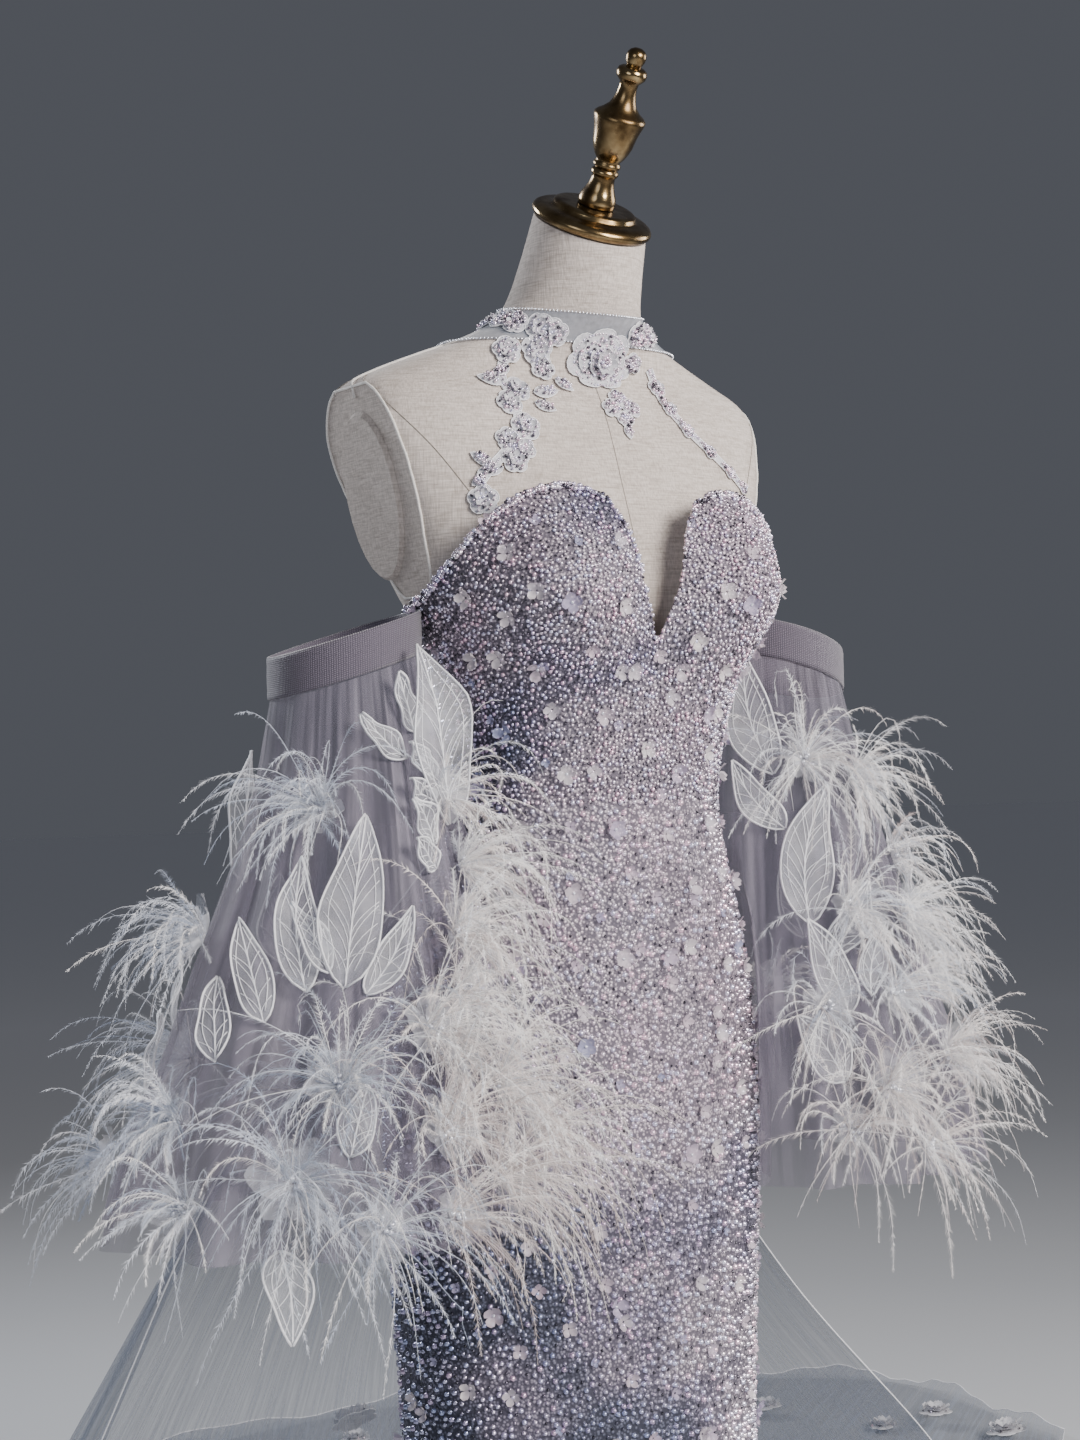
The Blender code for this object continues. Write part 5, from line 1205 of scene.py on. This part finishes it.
# smaller tufts that fill in between the clusters, with the same columns
tufts = {
    "right": (
        (324.0, 0.230, 0.085, 0.022), (338.0, 0.520, 0.085, 0.024), (344.0, 0.620, 0.090, 0.024),
        (12.0, 0.960, 0.100, 0.026), (60.0, 0.900, 0.076, 0.024), (320.0, 0.800, 0.100, 0.024),
        (120.0, 0.860, 0.080, 0.026), (354.0, 0.940, 0.100, 0.024), (190.0, 0.760, 0.090, 0.026),
    ),
    "left": (
        (332.0, 0.620, 0.085, 0.024), (4.0, 0.600, 0.085, 0.024), (8.0, 0.940, 0.095, 0.024),
        (336.0, 0.880, 0.095, 0.024), (46.0, 0.340, 0.080, 0.022), (110.0, 0.820, 0.090, 0.024),
    ),
}
fronds_each, tuft_fronds_each, frond_stations = 72, 38, 12
barbs_each, barb_length, barb_half_width = 50, 0.0072, 0.00036


def pushed_clear(points, trees, clear):
    """Points moved out of the surfaces that they would sink into."""
    search = 0.05
    for k, point in enumerate(points):
        spot = Vector(point)
        for under in trees:
            hit, normal, _, _ = under.find_nearest(spot, search)
            if hit is not None:
                above = (spot - hit).dot(normal)
                if above < clear:
                    spot += normal * (clear - above)
        points[k] = spot
    return points


def frond_paths(rng, seat, length, trees, count, sweep):
    """Centre lines of a cluster's fronds: they spring out, mostly towards the sweep, and curl over
    under their own weight."""
    place, normal, up, aside = (np.array(v[:]) for v in seat)
    down = np.array((0, 0, -1.0))
    flow = np.array((sweep, 0, 0)) + aside * rng.uniform(-0.25, 0.25) + up * rng.uniform(-0.15, 0.40)
    paths = []
    for k in range(count):
        bearing = math.tau * (k * 0.618 + rng.uniform(0, 0.1))
        radial = aside * math.cos(bearing) + up * math.sin(bearing)
        tilt = rng.uniform(0.15, 1.20)
        heading = radial * 0.95 * math.cos(tilt) + normal * math.sin(tilt) + flow * rng.uniform(0.1, 1.5)
        heading += rng.normal(0, 0.22, 3)
        heading /= np.linalg.norm(heading)
        short = k % 3 == 0
        reach = length * (rng.uniform(0.40, 0.70) if short else rng.uniform(0.80, 1.50))
        target = down * 1.0 + radial * 0.22 + flow * rng.uniform(0.0, 0.6) + normal * rng.uniform(-0.05, 0.16)
        bend, curl = rng.uniform(0.60, 1.50), rng.uniform(-0.55, 0.55)
        side = np.cross(heading, down)
        side /= max(np.linalg.norm(side), 0.3)
        s = np.linspace(0, 1, frond_stations)[:, None]
        share = np.clip(bend * s ** 1.25, 0, 1)
        course = heading * (1 - share) + target * share + side * curl * np.sin(2.4 * s)
        course /= np.linalg.norm(course, axis=1)[:, None]
        root = place + radial * rng.uniform(0.001, 0.008) + normal * 0.003
        steps = np.concatenate((np.zeros((1, 3)), np.cumsum(course[:-1], axis=0)))
        path = root + steps * reach / (len(s) - 1)
        paths.append(pushed_clear([Vector(p) for p in path], trees, 0.004))
    return paths


def frond_mesh(rng, path):
    """Quill and barbs of one frond as arrays of points and triangles."""
    line = np.array([p[:] for p in path])
    tangent = np.gradient(line, axis=0)
    tangent /= np.linalg.norm(tangent, axis=1)[:, None]
    lead = rng.normal(size=3)
    side = np.cross(tangent, lead)
    side /= np.linalg.norm(side, axis=1)[:, None]
    other = np.cross(tangent, side)
    thick = np.linspace(0.00048, 0.00012, len(line))[:, None]
    corners = [line + (side * math.cos(t) + other * math.sin(t)) * thick for t in (0, 2.09, 4.19)]
    quill = np.stack(corners, 1).reshape(-1, 3)
    faces = []
    for k in range(len(line) - 1):
        for s in range(3):
            n = (s + 1) % 3
            a, b, c, d = 3 * k + s, 3 * k + n, 3 * k + 3 + n, 3 * k + 3 + s
            faces += [(a, b, c), (a, c, d)]
    share = np.sort(rng.uniform(0.04, 1.0, barbs_each * 2))
    at = share * (len(line) - 1)
    low = np.minimum(at.astype(int), len(line) - 2)
    part = (at - low)[:, None]
    base = line[low] * (1 - part) + line[low + 1] * part
    along = tangent[low]
    hand = np.where(np.arange(len(at)) % 2, 1.0, -1.0)[:, None]
    away = side[low] * hand + other[low] * rng.uniform(-0.35, 0.35, (len(at), 1))
    heading = along * rng.uniform(0.9, 2.1, (len(at), 1)) + away * 0.95
    heading /= np.linalg.norm(heading, axis=1)[:, None]
    grow = np.sin(np.pi * (0.20 + 0.74 * share)) ** 0.8
    long = barb_length * rng.uniform(0.55, 1.25, (len(at), 1)) * grow[:, None]
    tip = base + heading * long + np.array((0, 0, -0.22)) * long
    half = along * barb_half_width
    barbs = np.stack((base - half, base + half, tip), 1).reshape(-1, 3)
    start = len(quill)
    faces += [(start + 3 * k, start + 3 * k + 1, start + 3 * k + 2) for k in range(len(at))]
    return np.concatenate((quill, barbs)), np.array(faces)


crystal_glass = mottled_finish("crystal_glass", (0.62, 0.66, 0.76), (0.95, 0.95, 1.0), 900.0, Roughness=0.06,
                               Metallic=0.5, Coat_Weight=0.8)
rosette_petals = [petals(6, 0.002, 0.030, 0.021, 0.010, 0.003, 5),
                  petals(5, 0.001, 0.020, 0.015, 0.011, 0.006, 4, 0.4)]
rosette_size, rosette_crystals, rosette_crystal_radius = 0.030, 9, 0.0022
for name in sides:
    for kind, table, count in (("feathers", clusters[name], fronds_each),
                               ("tufts", tufts[name], tuft_fronds_each)):
        rng = np.random.default_rng(57 + len(table))
        all_points, all_faces, tints, start = [], [], [], 0
        rosettes = Gathered()
        for angle, drop, length, petal in table:
            place, normal, up, aside = bell_seat(name, angle, drop)
            ring = [place + (aside * math.cos(t) + up * math.sin(t)) * petal * 0.5
                    for t in np.linspace(0, 6, 7)]
            foot = place + normal * (height_over(bell_trees[name], [place, *ring], normal, place) + 0.001)
            for shape, faces in rosette_petals:
                grow = petal / rosette_size * rng.uniform(1.0, 1.15)
                spun = settled_on([Vector(p) * grow for p in shape], foot, normal, rng.uniform(0, 6))
                rosettes.add(spun, faces)
            for _ in range(rosette_crystals):
                spot = foot + (aside * rng.normal() + up * rng.normal()) * 0.0045 + normal * 0.007
                sew_bead(crystals, rosette_crystal_radius, spot, normal)
            # the fronds of a sleeve sweep away from the gown, or along it where they lie on it, and
            # they carry painted light in their tint: on the right sleeve they are warmer next to the gown, as
            # under the warm key light, and cooler and bluer round the outer side, as under the cool fill
            # light; the lower clusters are warmer, and darker next to the gown on the right sleeve, painted
            # shade; each frond's tint also varies at random
            inward, low = 190 < angle < 360, drop > 0.70
            sweep = rng.uniform(0.30, 0.80) * (1 if name == "left" or inward else -1)
            if name == "left" and inward or name == "right" and 10 < angle < 40 and low:
                sweep *= 0.25
            paths = frond_paths(rng, (foot, normal, up, aside), length, (bell_trees[name], gown_tree), count,
                                sweep)
            cluster_tint_and_painted_light = (0.64 + 0.22 * low if inward else 0.26) if name == "right" else 0.50 + 0.16 * low
            for path in paths:
                made, faces = frond_mesh(rng, path)
                all_points.append(made)
                all_faces.append(faces + start)
                tints.append(np.full(len(made), np.clip(rng.normal(cluster_tint_and_painted_light, 0.16), 0, 1)))
                start += len(made)
        mesh = mesh_of(f"{kind}_{name}", np.concatenate(all_points), np.concatenate(all_faces))
        shade = mesh.attributes.new("tint", "FLOAT", "POINT")
        shade.data.foreach_set("value", np.concatenate(tints).astype(np.float32))
        stood_for = [f"plume_{name}_{k + 1:02d}" for k in range(len(table))] if kind == "feathers" else []
        new_piece(f"{kind}_{name}", mesh, feather, "feather", *stood_for)
        rosettes.piece(f"{kind}_{name}_rosettes", organza, "feather")

# Halter collar. A sheer tulle neck band edged with beads, a large lace rose at its front with a
# small drop under it, a row of little lace flowers, and two beaded lace straps down to the cups.
collar_tulle = mottled_finish("collar_tulle", (0.24, 0.27, 0.33), (0.38, 0.42, 0.49), 200.0, Roughness=0.6,
                              Alpha=0.55, Sheen_Weight=0.4)
lace, tree, shader = new_finish("beaded_lace")
feed(tree, shader, Roughness=0.5, Sheen_Weight=0.3,
     Base_Color=mottled(tree, noise_of(tree, 260.0), (0.42, 0.42, 0.46), (0.68, 0.67, 0.70)))
bumped(tree, shader, noise_of(tree, 800.0), 0.5, 0.0008)
collar_top, collar_foot, collar_columns, collar_lift = 1.470, 1.438, 128, 0.0016


def figure_ring(turns, height, lift):
    """Points round the torso at one height, raised by a lift."""
    return [figure_point(turn, height) + outward(figure_point, turn, height) * lift for turn in turns]


collar_turns = [math.tau * c / collar_columns for c in range(collar_columns)]
collar_grid = [figure_ring(collar_turns, height, collar_lift)
               for height in np.linspace(collar_top, collar_foot, 9)]
collar_band = new_piece("collar_band_tulle", grid_mesh("collar_band", collar_grid, closed=True, flip=True),
                        collar_tulle, "collar_tulle", "collar_band")
edge_lines = [figure_ring(np.linspace(0, math.tau, 160), height, 0.0022)
              for height in (collar_top, collar_foot)]
seed_bead = item_object("seed_bead_item", *dome(0.0012, 5, 2))
rim_beads = grown("collar_edge_beads", path_mesh("collar_edges", *edge_lines), stringing, Item=seed_bead,
                  Finish=crystal_glass, Step=0.0034)
bpy.data.objects.remove(seed_bead)
new_piece("collar_edge_beads", rim_beads, crystal_glass, "beaded_lace")


def figure_seat(degrees, height):
    """A place on the torso and its outward direction."""
    angle = math.radians(degrees)
    return figure_point(angle, height), outward(figure_point, angle, height)


lace_bead = 0.0016


def lace_motif(gather, cord, sparkle, rng, place, normal, heading, outline, under, lift, beads):
    """A flat lace shape: its cloth, a satin cord round it, and beads sewn on. The outline is in its
    own plane, with x along the heading; it settles on what lies under it."""
    ahead = (heading - normal * heading.dot(normal)).normalized()
    aside = normal.cross(ahead)

    def laid(x, y, rise):
        spot = place + ahead * x + aside * y
        if under is None:
            return spot + normal * (lift + rise)
        found = under.find_nearest(spot)
        return found[0] + found[1] * (lift + rise)

    size = max(math.hypot(x, y) for x, y in outline)
    middle = (sum(x for x, _ in outline) / len(outline), sum(y for _, y in outline) / len(outline))
    count = len(outline)
    made = [laid(*middle, 0.10 * size)]
    for share, rise in ((0.5, 0.12), (1.0, 0.02)):
        made += [laid(middle[0] + (x - middle[0]) * share, middle[1] + (y - middle[1]) * share, rise * size)
                 for x, y in outline]
    faces = [(0, 1 + k, 1 + (k + 1) % count) for k in range(count)]
    faces += [(1 + k, 1 + count + k, 1 + count + (k + 1) % count, 1 + (k + 1) % count) for k in range(count)]
    gather.add(made, faces)
    cord.add(*tube([p + normal * 0.0003 for p in made[1 + count:]], 0.00046, 4, closed=True))
    for k in range(beads):
        share = math.sqrt((k + 0.5) / beads) * 0.82
        x, y = outline[int(k * 0.618 * count) % count]
        spot = laid(middle[0] + (x - middle[0]) * share, middle[1] + (y - middle[1]) * share, 0.11 * size)
        sew_bead(sparkle, lace_bead * rng.uniform(0.75, 1.2), spot, normal, rng.uniform(0, 1))


def laid_on_torso(spot, lift):
    """The place over the torso that is nearest to a spot, raised by a lift, and its direction."""
    found, normal = torso_tree.find_nearest(spot)[:2]
    return found + normal * lift, normal


def scalloped(radius, lobes, depth=0.22, count=30):
    """The outline of a round motif with lobes."""
    turns = np.linspace(0, math.tau, count, endpoint=False)
    reaches = [radius * (1 - depth + depth * abs(math.cos(lobes * t / 2)) ** 0.6) for t in turns]
    return [(reach * math.cos(t), reach * math.sin(t)) for reach, t in zip(reaches, turns)]


def pointed(length, width):
    """The outline of a leaf-shaped motif."""
    half = [(length * t, width / 2 * math.sin(math.pi * t ** 0.8) ** 0.8) for t in np.linspace(0, 1, 11)]
    return half + [(x, -y) for x, y in half[-2:0:-1]]


lace_cord, collar_beads = Gathered(), Gathered()
upwards, seed_radius = Vector((0, 0, 1)), 0.0012
rng = np.random.default_rng(77)
# the rose: three scalloped layers, each ringed with seed beads, and a beaded heart
rose_lace = Gathered()
place, normal = figure_seat(1.5, 1.4235)
rose_layers = ((0.0350, 7, 0.0014), (0.0250, 6, 0.0056), (0.0155, 5, 0.0094))
for layer, (radius, lobes, height) in enumerate(rose_layers):
    cos, sin = math.cos(layer * 0.5), math.sin(layer * 0.5)
    spun = [(x * cos - y * sin, x * sin + y * cos) for x, y in scalloped(radius, lobes, 0.17, 42)]
    lace_motif(rose_lace, lace_cord, collar_beads, rng, place, normal, upwards, spun,
               torso_tree if layer == 0 else None, height, 58 - 14 * layer)
    count, ring_radius = int(46 * radius / 0.03), radius * 0.80
    for k in range(count):
        turn = math.tau * k / count
        spot = (ring_radius * math.cos(turn), ring_radius * math.sin(turn), height + 0.0008)
        at = settled_on([spot], place, normal)[0]
        if layer == 0:
            at = laid_on_torso(at, height + 0.0010)[0]
        sew_bead(collar_beads, seed_radius * rng.uniform(0.8, 1.15), at, normal, rng.uniform(0.2, 1))
shape, faces = petals(7, 0.002, 0.0120, 0.0085, 0.0042, 0.0112)
rose_lace.add(settled_on(shape, place, normal, 0.4), faces)
for k in range(9):
    reach = 0.0038 * (k > 0)
    at = settled_on([(reach * math.cos(k * 0.8), reach * math.sin(k * 0.8), 0.0135)], place, normal)[0]
    sew_bead(collar_beads, 0.0019, at, normal, rng.uniform(0.3, 1), rings=3)
rose_lace.piece("collar_rose_lace", lace, "beaded_lace", "collar_rose")

# the drop: four little flowers and a pointed leaf that hangs from them
drop_lace = Gathered()
for degrees, height, outline, heading, beads in (
        (0.7, 1.3775, scalloped(0.0104, 5), upwards, 20), (3.9, 1.3785, scalloped(0.0104, 5), upwards, 20),
        (2.3, 1.3880, scalloped(0.0098, 5), upwards, 20), (2.2, 1.3670, scalloped(0.0090, 4), upwards, 20),
        (2.1, 1.3620, pointed(0.015, 0.0095), -upwards, 8)):
    place, normal = figure_seat(degrees, height)
    lace_motif(drop_lace, lace_cord, collar_beads, rng, place, normal, heading, outline, torso_tree, 0.0012,
               beads)
drop_lace.piece("collar_drop_lace", lace, "beaded_lace", "collar_drop")

# the little flowers and leaves: degrees, height, kind, size, turn from upwards in degrees
motifs = {
    "ring": (
        (-104, 1.460, "flower", 0.0100, 0), (-80, 1.460, "flower", 0.0112, 20),
        (-60, 1.455, "flower", 0.0100, 0), (-48, 1.453, "leaf", 0.0190, 40),
        (-38, 1.451, "flower", 0.0112, 30), (-25.5, 1.446, "flower", 0.0108, 0),
        (-34, 1.428, "flower", 0.0112, 10), (-24, 1.412, "leaf", 0.0170, 120),
        (-23, 1.430, "flower", 0.0122, 0), (-13.5, 1.412, "flower", 0.0100, 50),
        (-8.5, 1.403, "leaf", 0.0170, 230), (14, 1.424, "flower", 0.0086, 0),
        (20, 1.440, "leaf", 0.0170, -60), (29, 1.452, "flower", 0.0100, 0),
        (44, 1.453, "flower", 0.0108, 30), (62, 1.457, "flower", 0.0100, 0),
        (82, 1.460, "flower", 0.0108, 0), (104, 1.460, "flower", 0.0100, 10),
        (126, 1.458, "flower", 0.0108, 0), (148, 1.456, "flower", 0.0100, 0),
        (170, 1.455, "flower", 0.0108, 0), (-126, 1.458, "flower", 0.0108, 0),
        (-148, 1.456, "flower", 0.0100, 0), (-170, 1.455, "flower", 0.0108, 0),
    ),
    "strap_right": (
        (-21.0, 1.396, "leaf", 0.0220, 75), (-17.5, 1.390, "flower", 0.0112, 0),
        (-13.0, 1.387, "leaf", 0.0220, -80), (-19.5, 1.377, "flower", 0.0104, 20),
        (-13.0, 1.378, "leaf", 0.0180, -110), (-17.0, 1.366, "leaf", 0.0150, 190),
        (-16.5, 1.354, "flower", 0.0118, 0), (-22.5, 1.342, "flower", 0.0096, 0),
        (-19.0, 1.333, "flower", 0.0100, 30), (-22.5, 1.322, "flower", 0.0104, 0),
        (-27.0, 1.315, "leaf", 0.0200, 100), (-30.0, 1.318, "leaf", 0.0180, 60),
        (-33.0, 1.310, "leaf", 0.0150, 130), (-38.5, 1.286, "flower", 0.0116, 0),
        (-36.5, 1.295, "leaf", 0.0130, 20),
    ),
    "strap_left": (
        (15.0, 1.402, "flower", 0.0098, 0), (13.0, 1.392, "leaf", 0.0150, 200),
        (14.0, 1.381, "flower", 0.0082, 0), (15.0, 1.371, "leaf", 0.0150, -160),
        (17.0, 1.360, "flower", 0.0076, 0), (20.0, 1.350, "leaf", 0.0140, -135),
        (23.5, 1.341, "flower", 0.0070, 0), (27.5, 1.331, "leaf", 0.0140, -130),
        (32.0, 1.323, "flower", 0.0066, 0), (36.0, 1.316, "leaf", 0.0130, -130),
        (40.0, 1.310, "flower", 0.0066, 0),
    ),
}
# the narrow net that carries each strap's motifs: degrees, height
strap_routes = {
    "strap_right": ((-33.0, 1.4290), (-24.0, 1.4060), (-19.0, 1.3840), (-18.0, 1.3600), (-22.0, 1.3370),
                    (-29.0, 1.3190), (-38.0, 1.2990)),
    "strap_left": ((20.0, 1.4200), (15.0, 1.4020), (13.5, 1.3840), (17.5, 1.3590), (26.0, 1.3360),
                   (39.0, 1.3110)),
}
strap_half_width = 0.0042
for name, rows in motifs.items():
    pieces_of_lace = Gathered()
    for degrees, height, kind, size, turn in rows:
        place, normal = figure_seat(degrees, height)
        upward = (upwards - normal * normal.z).normalized()
        heading = Matrix.Rotation(math.radians(turn), 3, normal) @ upward
        size *= 1.0 if name == "strap_left" else 1.22
        outline = scalloped(size, 5, 0.16) if kind == "flower" else pointed(size, size * 0.50)
        lace_motif(pieces_of_lace, lace_cord, collar_beads, rng, place, normal, heading, outline, torso_tree,
                   0.0022 if name == "ring" else 0.0014, 26 if kind == "flower" else 15)
        if kind == "flower":
            shape, faces = petals(5, 0.0006, size * 0.62, size * 0.50, size * 0.26, 0.0020)
            pieces_of_lace.add(settled_on(shape, place + normal * 0.0010, normal, turn), faces)
    if name in strap_routes:
        line = figure_path(strap_routes[name], 60, 0.0020)
        flat = []
        for k, point in enumerate(line):
            along = (line[min(k + 1, len(line) - 1)] - line[max(k - 1, 0)]).normalized()
            across = laid_on_torso(point, 0.0)[1].cross(along).normalized()
            flat += [laid_on_torso(point + across * strap_half_width * c, 0.0014)[0] for c in (-1, 0, 1)]
        pieces_of_lace.add(flat, grid_faces(len(line), 3))
        for c in (0, 2):
            lace_cord.add(*tube(flat[c::3], 0.0006, 4))
        for point in line:
            radius = seed_radius * rng.uniform(0.8, 1.2)
            at, normal = laid_on_torso(point + Vector(rng.normal(0, 0.0016, 3)), 0.0016)
            sew_bead(collar_beads, radius, at, normal, rng.uniform(0.2, 1))
    nodes = [f"collar_{name}"] if name in strap_routes else []
    pieces_of_lace.piece(f"collar_{name}_lace", lace, "beaded_lace", *nodes)
lace_cord.piece("collar_lace_cord", satin_thread, "beaded_lace")
collar_beads.piece("collar_beads", glass, "beaded_lace")

# Train. Three gores of the sheerest blue-grey tulle, joined to the back waist, fall in long folds
# and spread over the floor to the form's left, with lace flowers near the hem.
train_lines = np.array([
    ((-0.108, 0.050, 1.000), (-0.178, 0.140, 0.860), (-0.265, 0.250, 0.660), (-0.338, 0.340, 0.430),
     (-0.400, 0.430, 0.210), (-0.460, 0.530, 0.030), (-0.500, 0.660, 0.008), (-0.530, 0.800, 0.008)),
    ((-0.068, 0.085, 1.000), (-0.118, 0.190, 0.860), (-0.190, 0.360, 0.650), (-0.240, 0.550, 0.410),
     (-0.270, 0.750, 0.190), (-0.280, 0.970, 0.030), (-0.270, 1.240, 0.008), (-0.250, 1.480, 0.008)),
    ((0.000, 0.096, 1.000), (0.000, 0.212, 0.860), (0.020, 0.400, 0.660), (0.080, 0.620, 0.430),
     (0.180, 0.880, 0.210), (0.320, 1.150, 0.030), (0.510, 1.430, 0.008), (0.700, 1.690, 0.008)),
    ((0.068, 0.085, 1.000), (0.118, 0.190, 0.860), (0.190, 0.340, 0.680), (0.340, 0.500, 0.450),
     (0.560, 0.680, 0.225), (0.800, 0.880, 0.032), (1.100, 1.130, 0.008), (1.400, 1.360, 0.008)),
    ((0.108, 0.050, 1.000), (0.176, 0.150, 0.860), (0.270, 0.235, 0.680), (0.425, 0.270, 0.480),
     (0.680, 0.345, 0.250), (0.930, 0.470, 0.034), (1.190, 0.660, 0.008), (1.430, 0.880, 0.008)),
])
train_folds, train_fold_depth = 9, 0.020
gore_columns, gore_rows = 46, 84


def through(stations, t):
    """A point of a smooth curve through evenly spaced stations, t from 0 to 1."""
    keys = np.linspace(0, 1, len(stations))[:, None]
    return row_at(np.concatenate((keys, stations), axis=1), t)[1:]


def train_point(across, down):
    """A point of the train; across runs from its right edge to its left edge."""
    x, y, z = through(np.array([through(line, down) for line in train_lines]), across)
    wave = 0.5 + 0.5 * math.cos(math.tau * train_folds * across + 2.0 * down)
    wave += 0.16 * math.cos(math.tau * 31 * across + 5 * down + 3 * math.sin(9 * across))
    depth = train_fold_depth * min(1.0, 0.1 + 1.6 * down)
    standing = min(1.0, z / 0.20)
    around = math.pi * (1.0 - across) + 0.35
    x += depth * wave * standing * math.cos(around) * 0.8
    y += depth * wave * standing * math.sin(around)
    z = max(0.004, z + depth * wave * (1 - standing) * 0.8)
    arm = Vector((x, y, 0)).normalized()
    found = gown_tree.ray_cast(arm * 0.6 + Vector((0, 0, z)), -arm)
    if found[0] is not None:
        limit = 0.6 - found[3] + 0.0012 + min(0.008, 0.2 * down)
        limit += 0.0045 * max(0.0, 1 - abs(x) / 0.016) * (z > 0.81)
        reach = max(math.hypot(x, y), limit) if down > 0 else limit
        x, y = arm.x * reach, arm.y * reach
    return Vector((x, y, z))


train_tulle, tree, shader = new_finish("train_tulle")
creases = noise_of(tree, 1.0, (260, 6, 1), "UV")
feed(tree, shader, Roughness=0.6, Sheen_Weight=0.25, Sheen_Roughness=0.4,
     Base_Color=ramp_of(tree, creases, (0.36, (0.085, 0.105, 0.155)), (0.64, (0.22, 0.255, 0.335))),
     Alpha=ramp_of(tree, creases, (0.32, 0.30), (0.66, 0.58)))
# flat width and length of each gore, and its area
gore_cuts = {"right": ((0.95, 1.35), 0.62), "centre": ((1.30, 2.20), 1.24), "left": ((1.00, 1.95), 0.97)}
hem_thread = Gathered()
for k, name in enumerate(("right", "centre", "left")):
    lines, downs = np.linspace(k / 3, (k + 1) / 3, gore_columns), np.linspace(0, 1, gore_rows)
    grid = [[train_point(a, d) for a in lines] for d in downs]
    mesh = grid_mesh(f"train_{name}", grid, flip=True)
    gore = new_piece(f"train_{name}_tulle", mesh, train_tulle, "train_tulle", f"train_gore_{name}")
    size, area = gore_cuts[name]
    hem_thread.add(*tube([p + Vector((0, 0, 0.0008)) for p in grid[-1]], 0.0009, 5))
for across in (0.0, 1.0):
    hem_thread.add(*tube([train_point(across, d) for d in np.linspace(0.02, 1, gore_rows)], 0.0008, 5))
hem_thread.piece("train_hem_thread", satin_thread, "train_tulle")

train_lace, train_cord, train_beads = Gathered(), Gathered(), Gathered()
train_flowers = 24
rng = np.random.default_rng(91)
for k in range(train_flowers):
    across = (k + rng.uniform(0.2, 0.8)) / train_flowers
    down = rng.uniform(0.80, 0.96) if k % 3 else rng.uniform(0.55, 0.78)
    place = train_point(across, down)
    step = 0.01
    slope = train_point(min(across + step, 1), down) - train_point(max(across - step, 0), down)
    fall = train_point(across, min(down + step, 1)) - train_point(across, down - step)
    normal = slope.cross(fall).normalized()
    if normal.z < 0:
        normal = -normal
    size, spin = rng.uniform(0.022, 0.036), rng.uniform(0, 6)
    lace_motif(train_lace, train_cord, train_beads, rng, place, normal, Vector((1, 0.2, 0)),
               scalloped(size, 5), None, 0.0024, 14)
    for layer in (0.9, 0.6):
        rise = 0.004 if layer == 0.9 else 0.008
        shape, faces = petals(5, 0.001, size * layer, size * layer * 0.86, size * 0.22, rise)
        train_lace.add(settled_on(shape, place, normal, spin + layer), faces)
train_lace.piece("train_lace_flowers", lace, "train_tulle")
train_cord.piece("train_lace_cord", satin_thread, "train_tulle")
train_beads.piece("train_lace_beads", glass, "train_tulle")

# Crystals. The cut-glass hearts of the gown's larger flowers and of the sleeves' rosettes are each
# sewn on by one stitch through the cloth, and are one joined mesh here.
crystals.piece("crystals", crystal_glass, "beaded_lace")
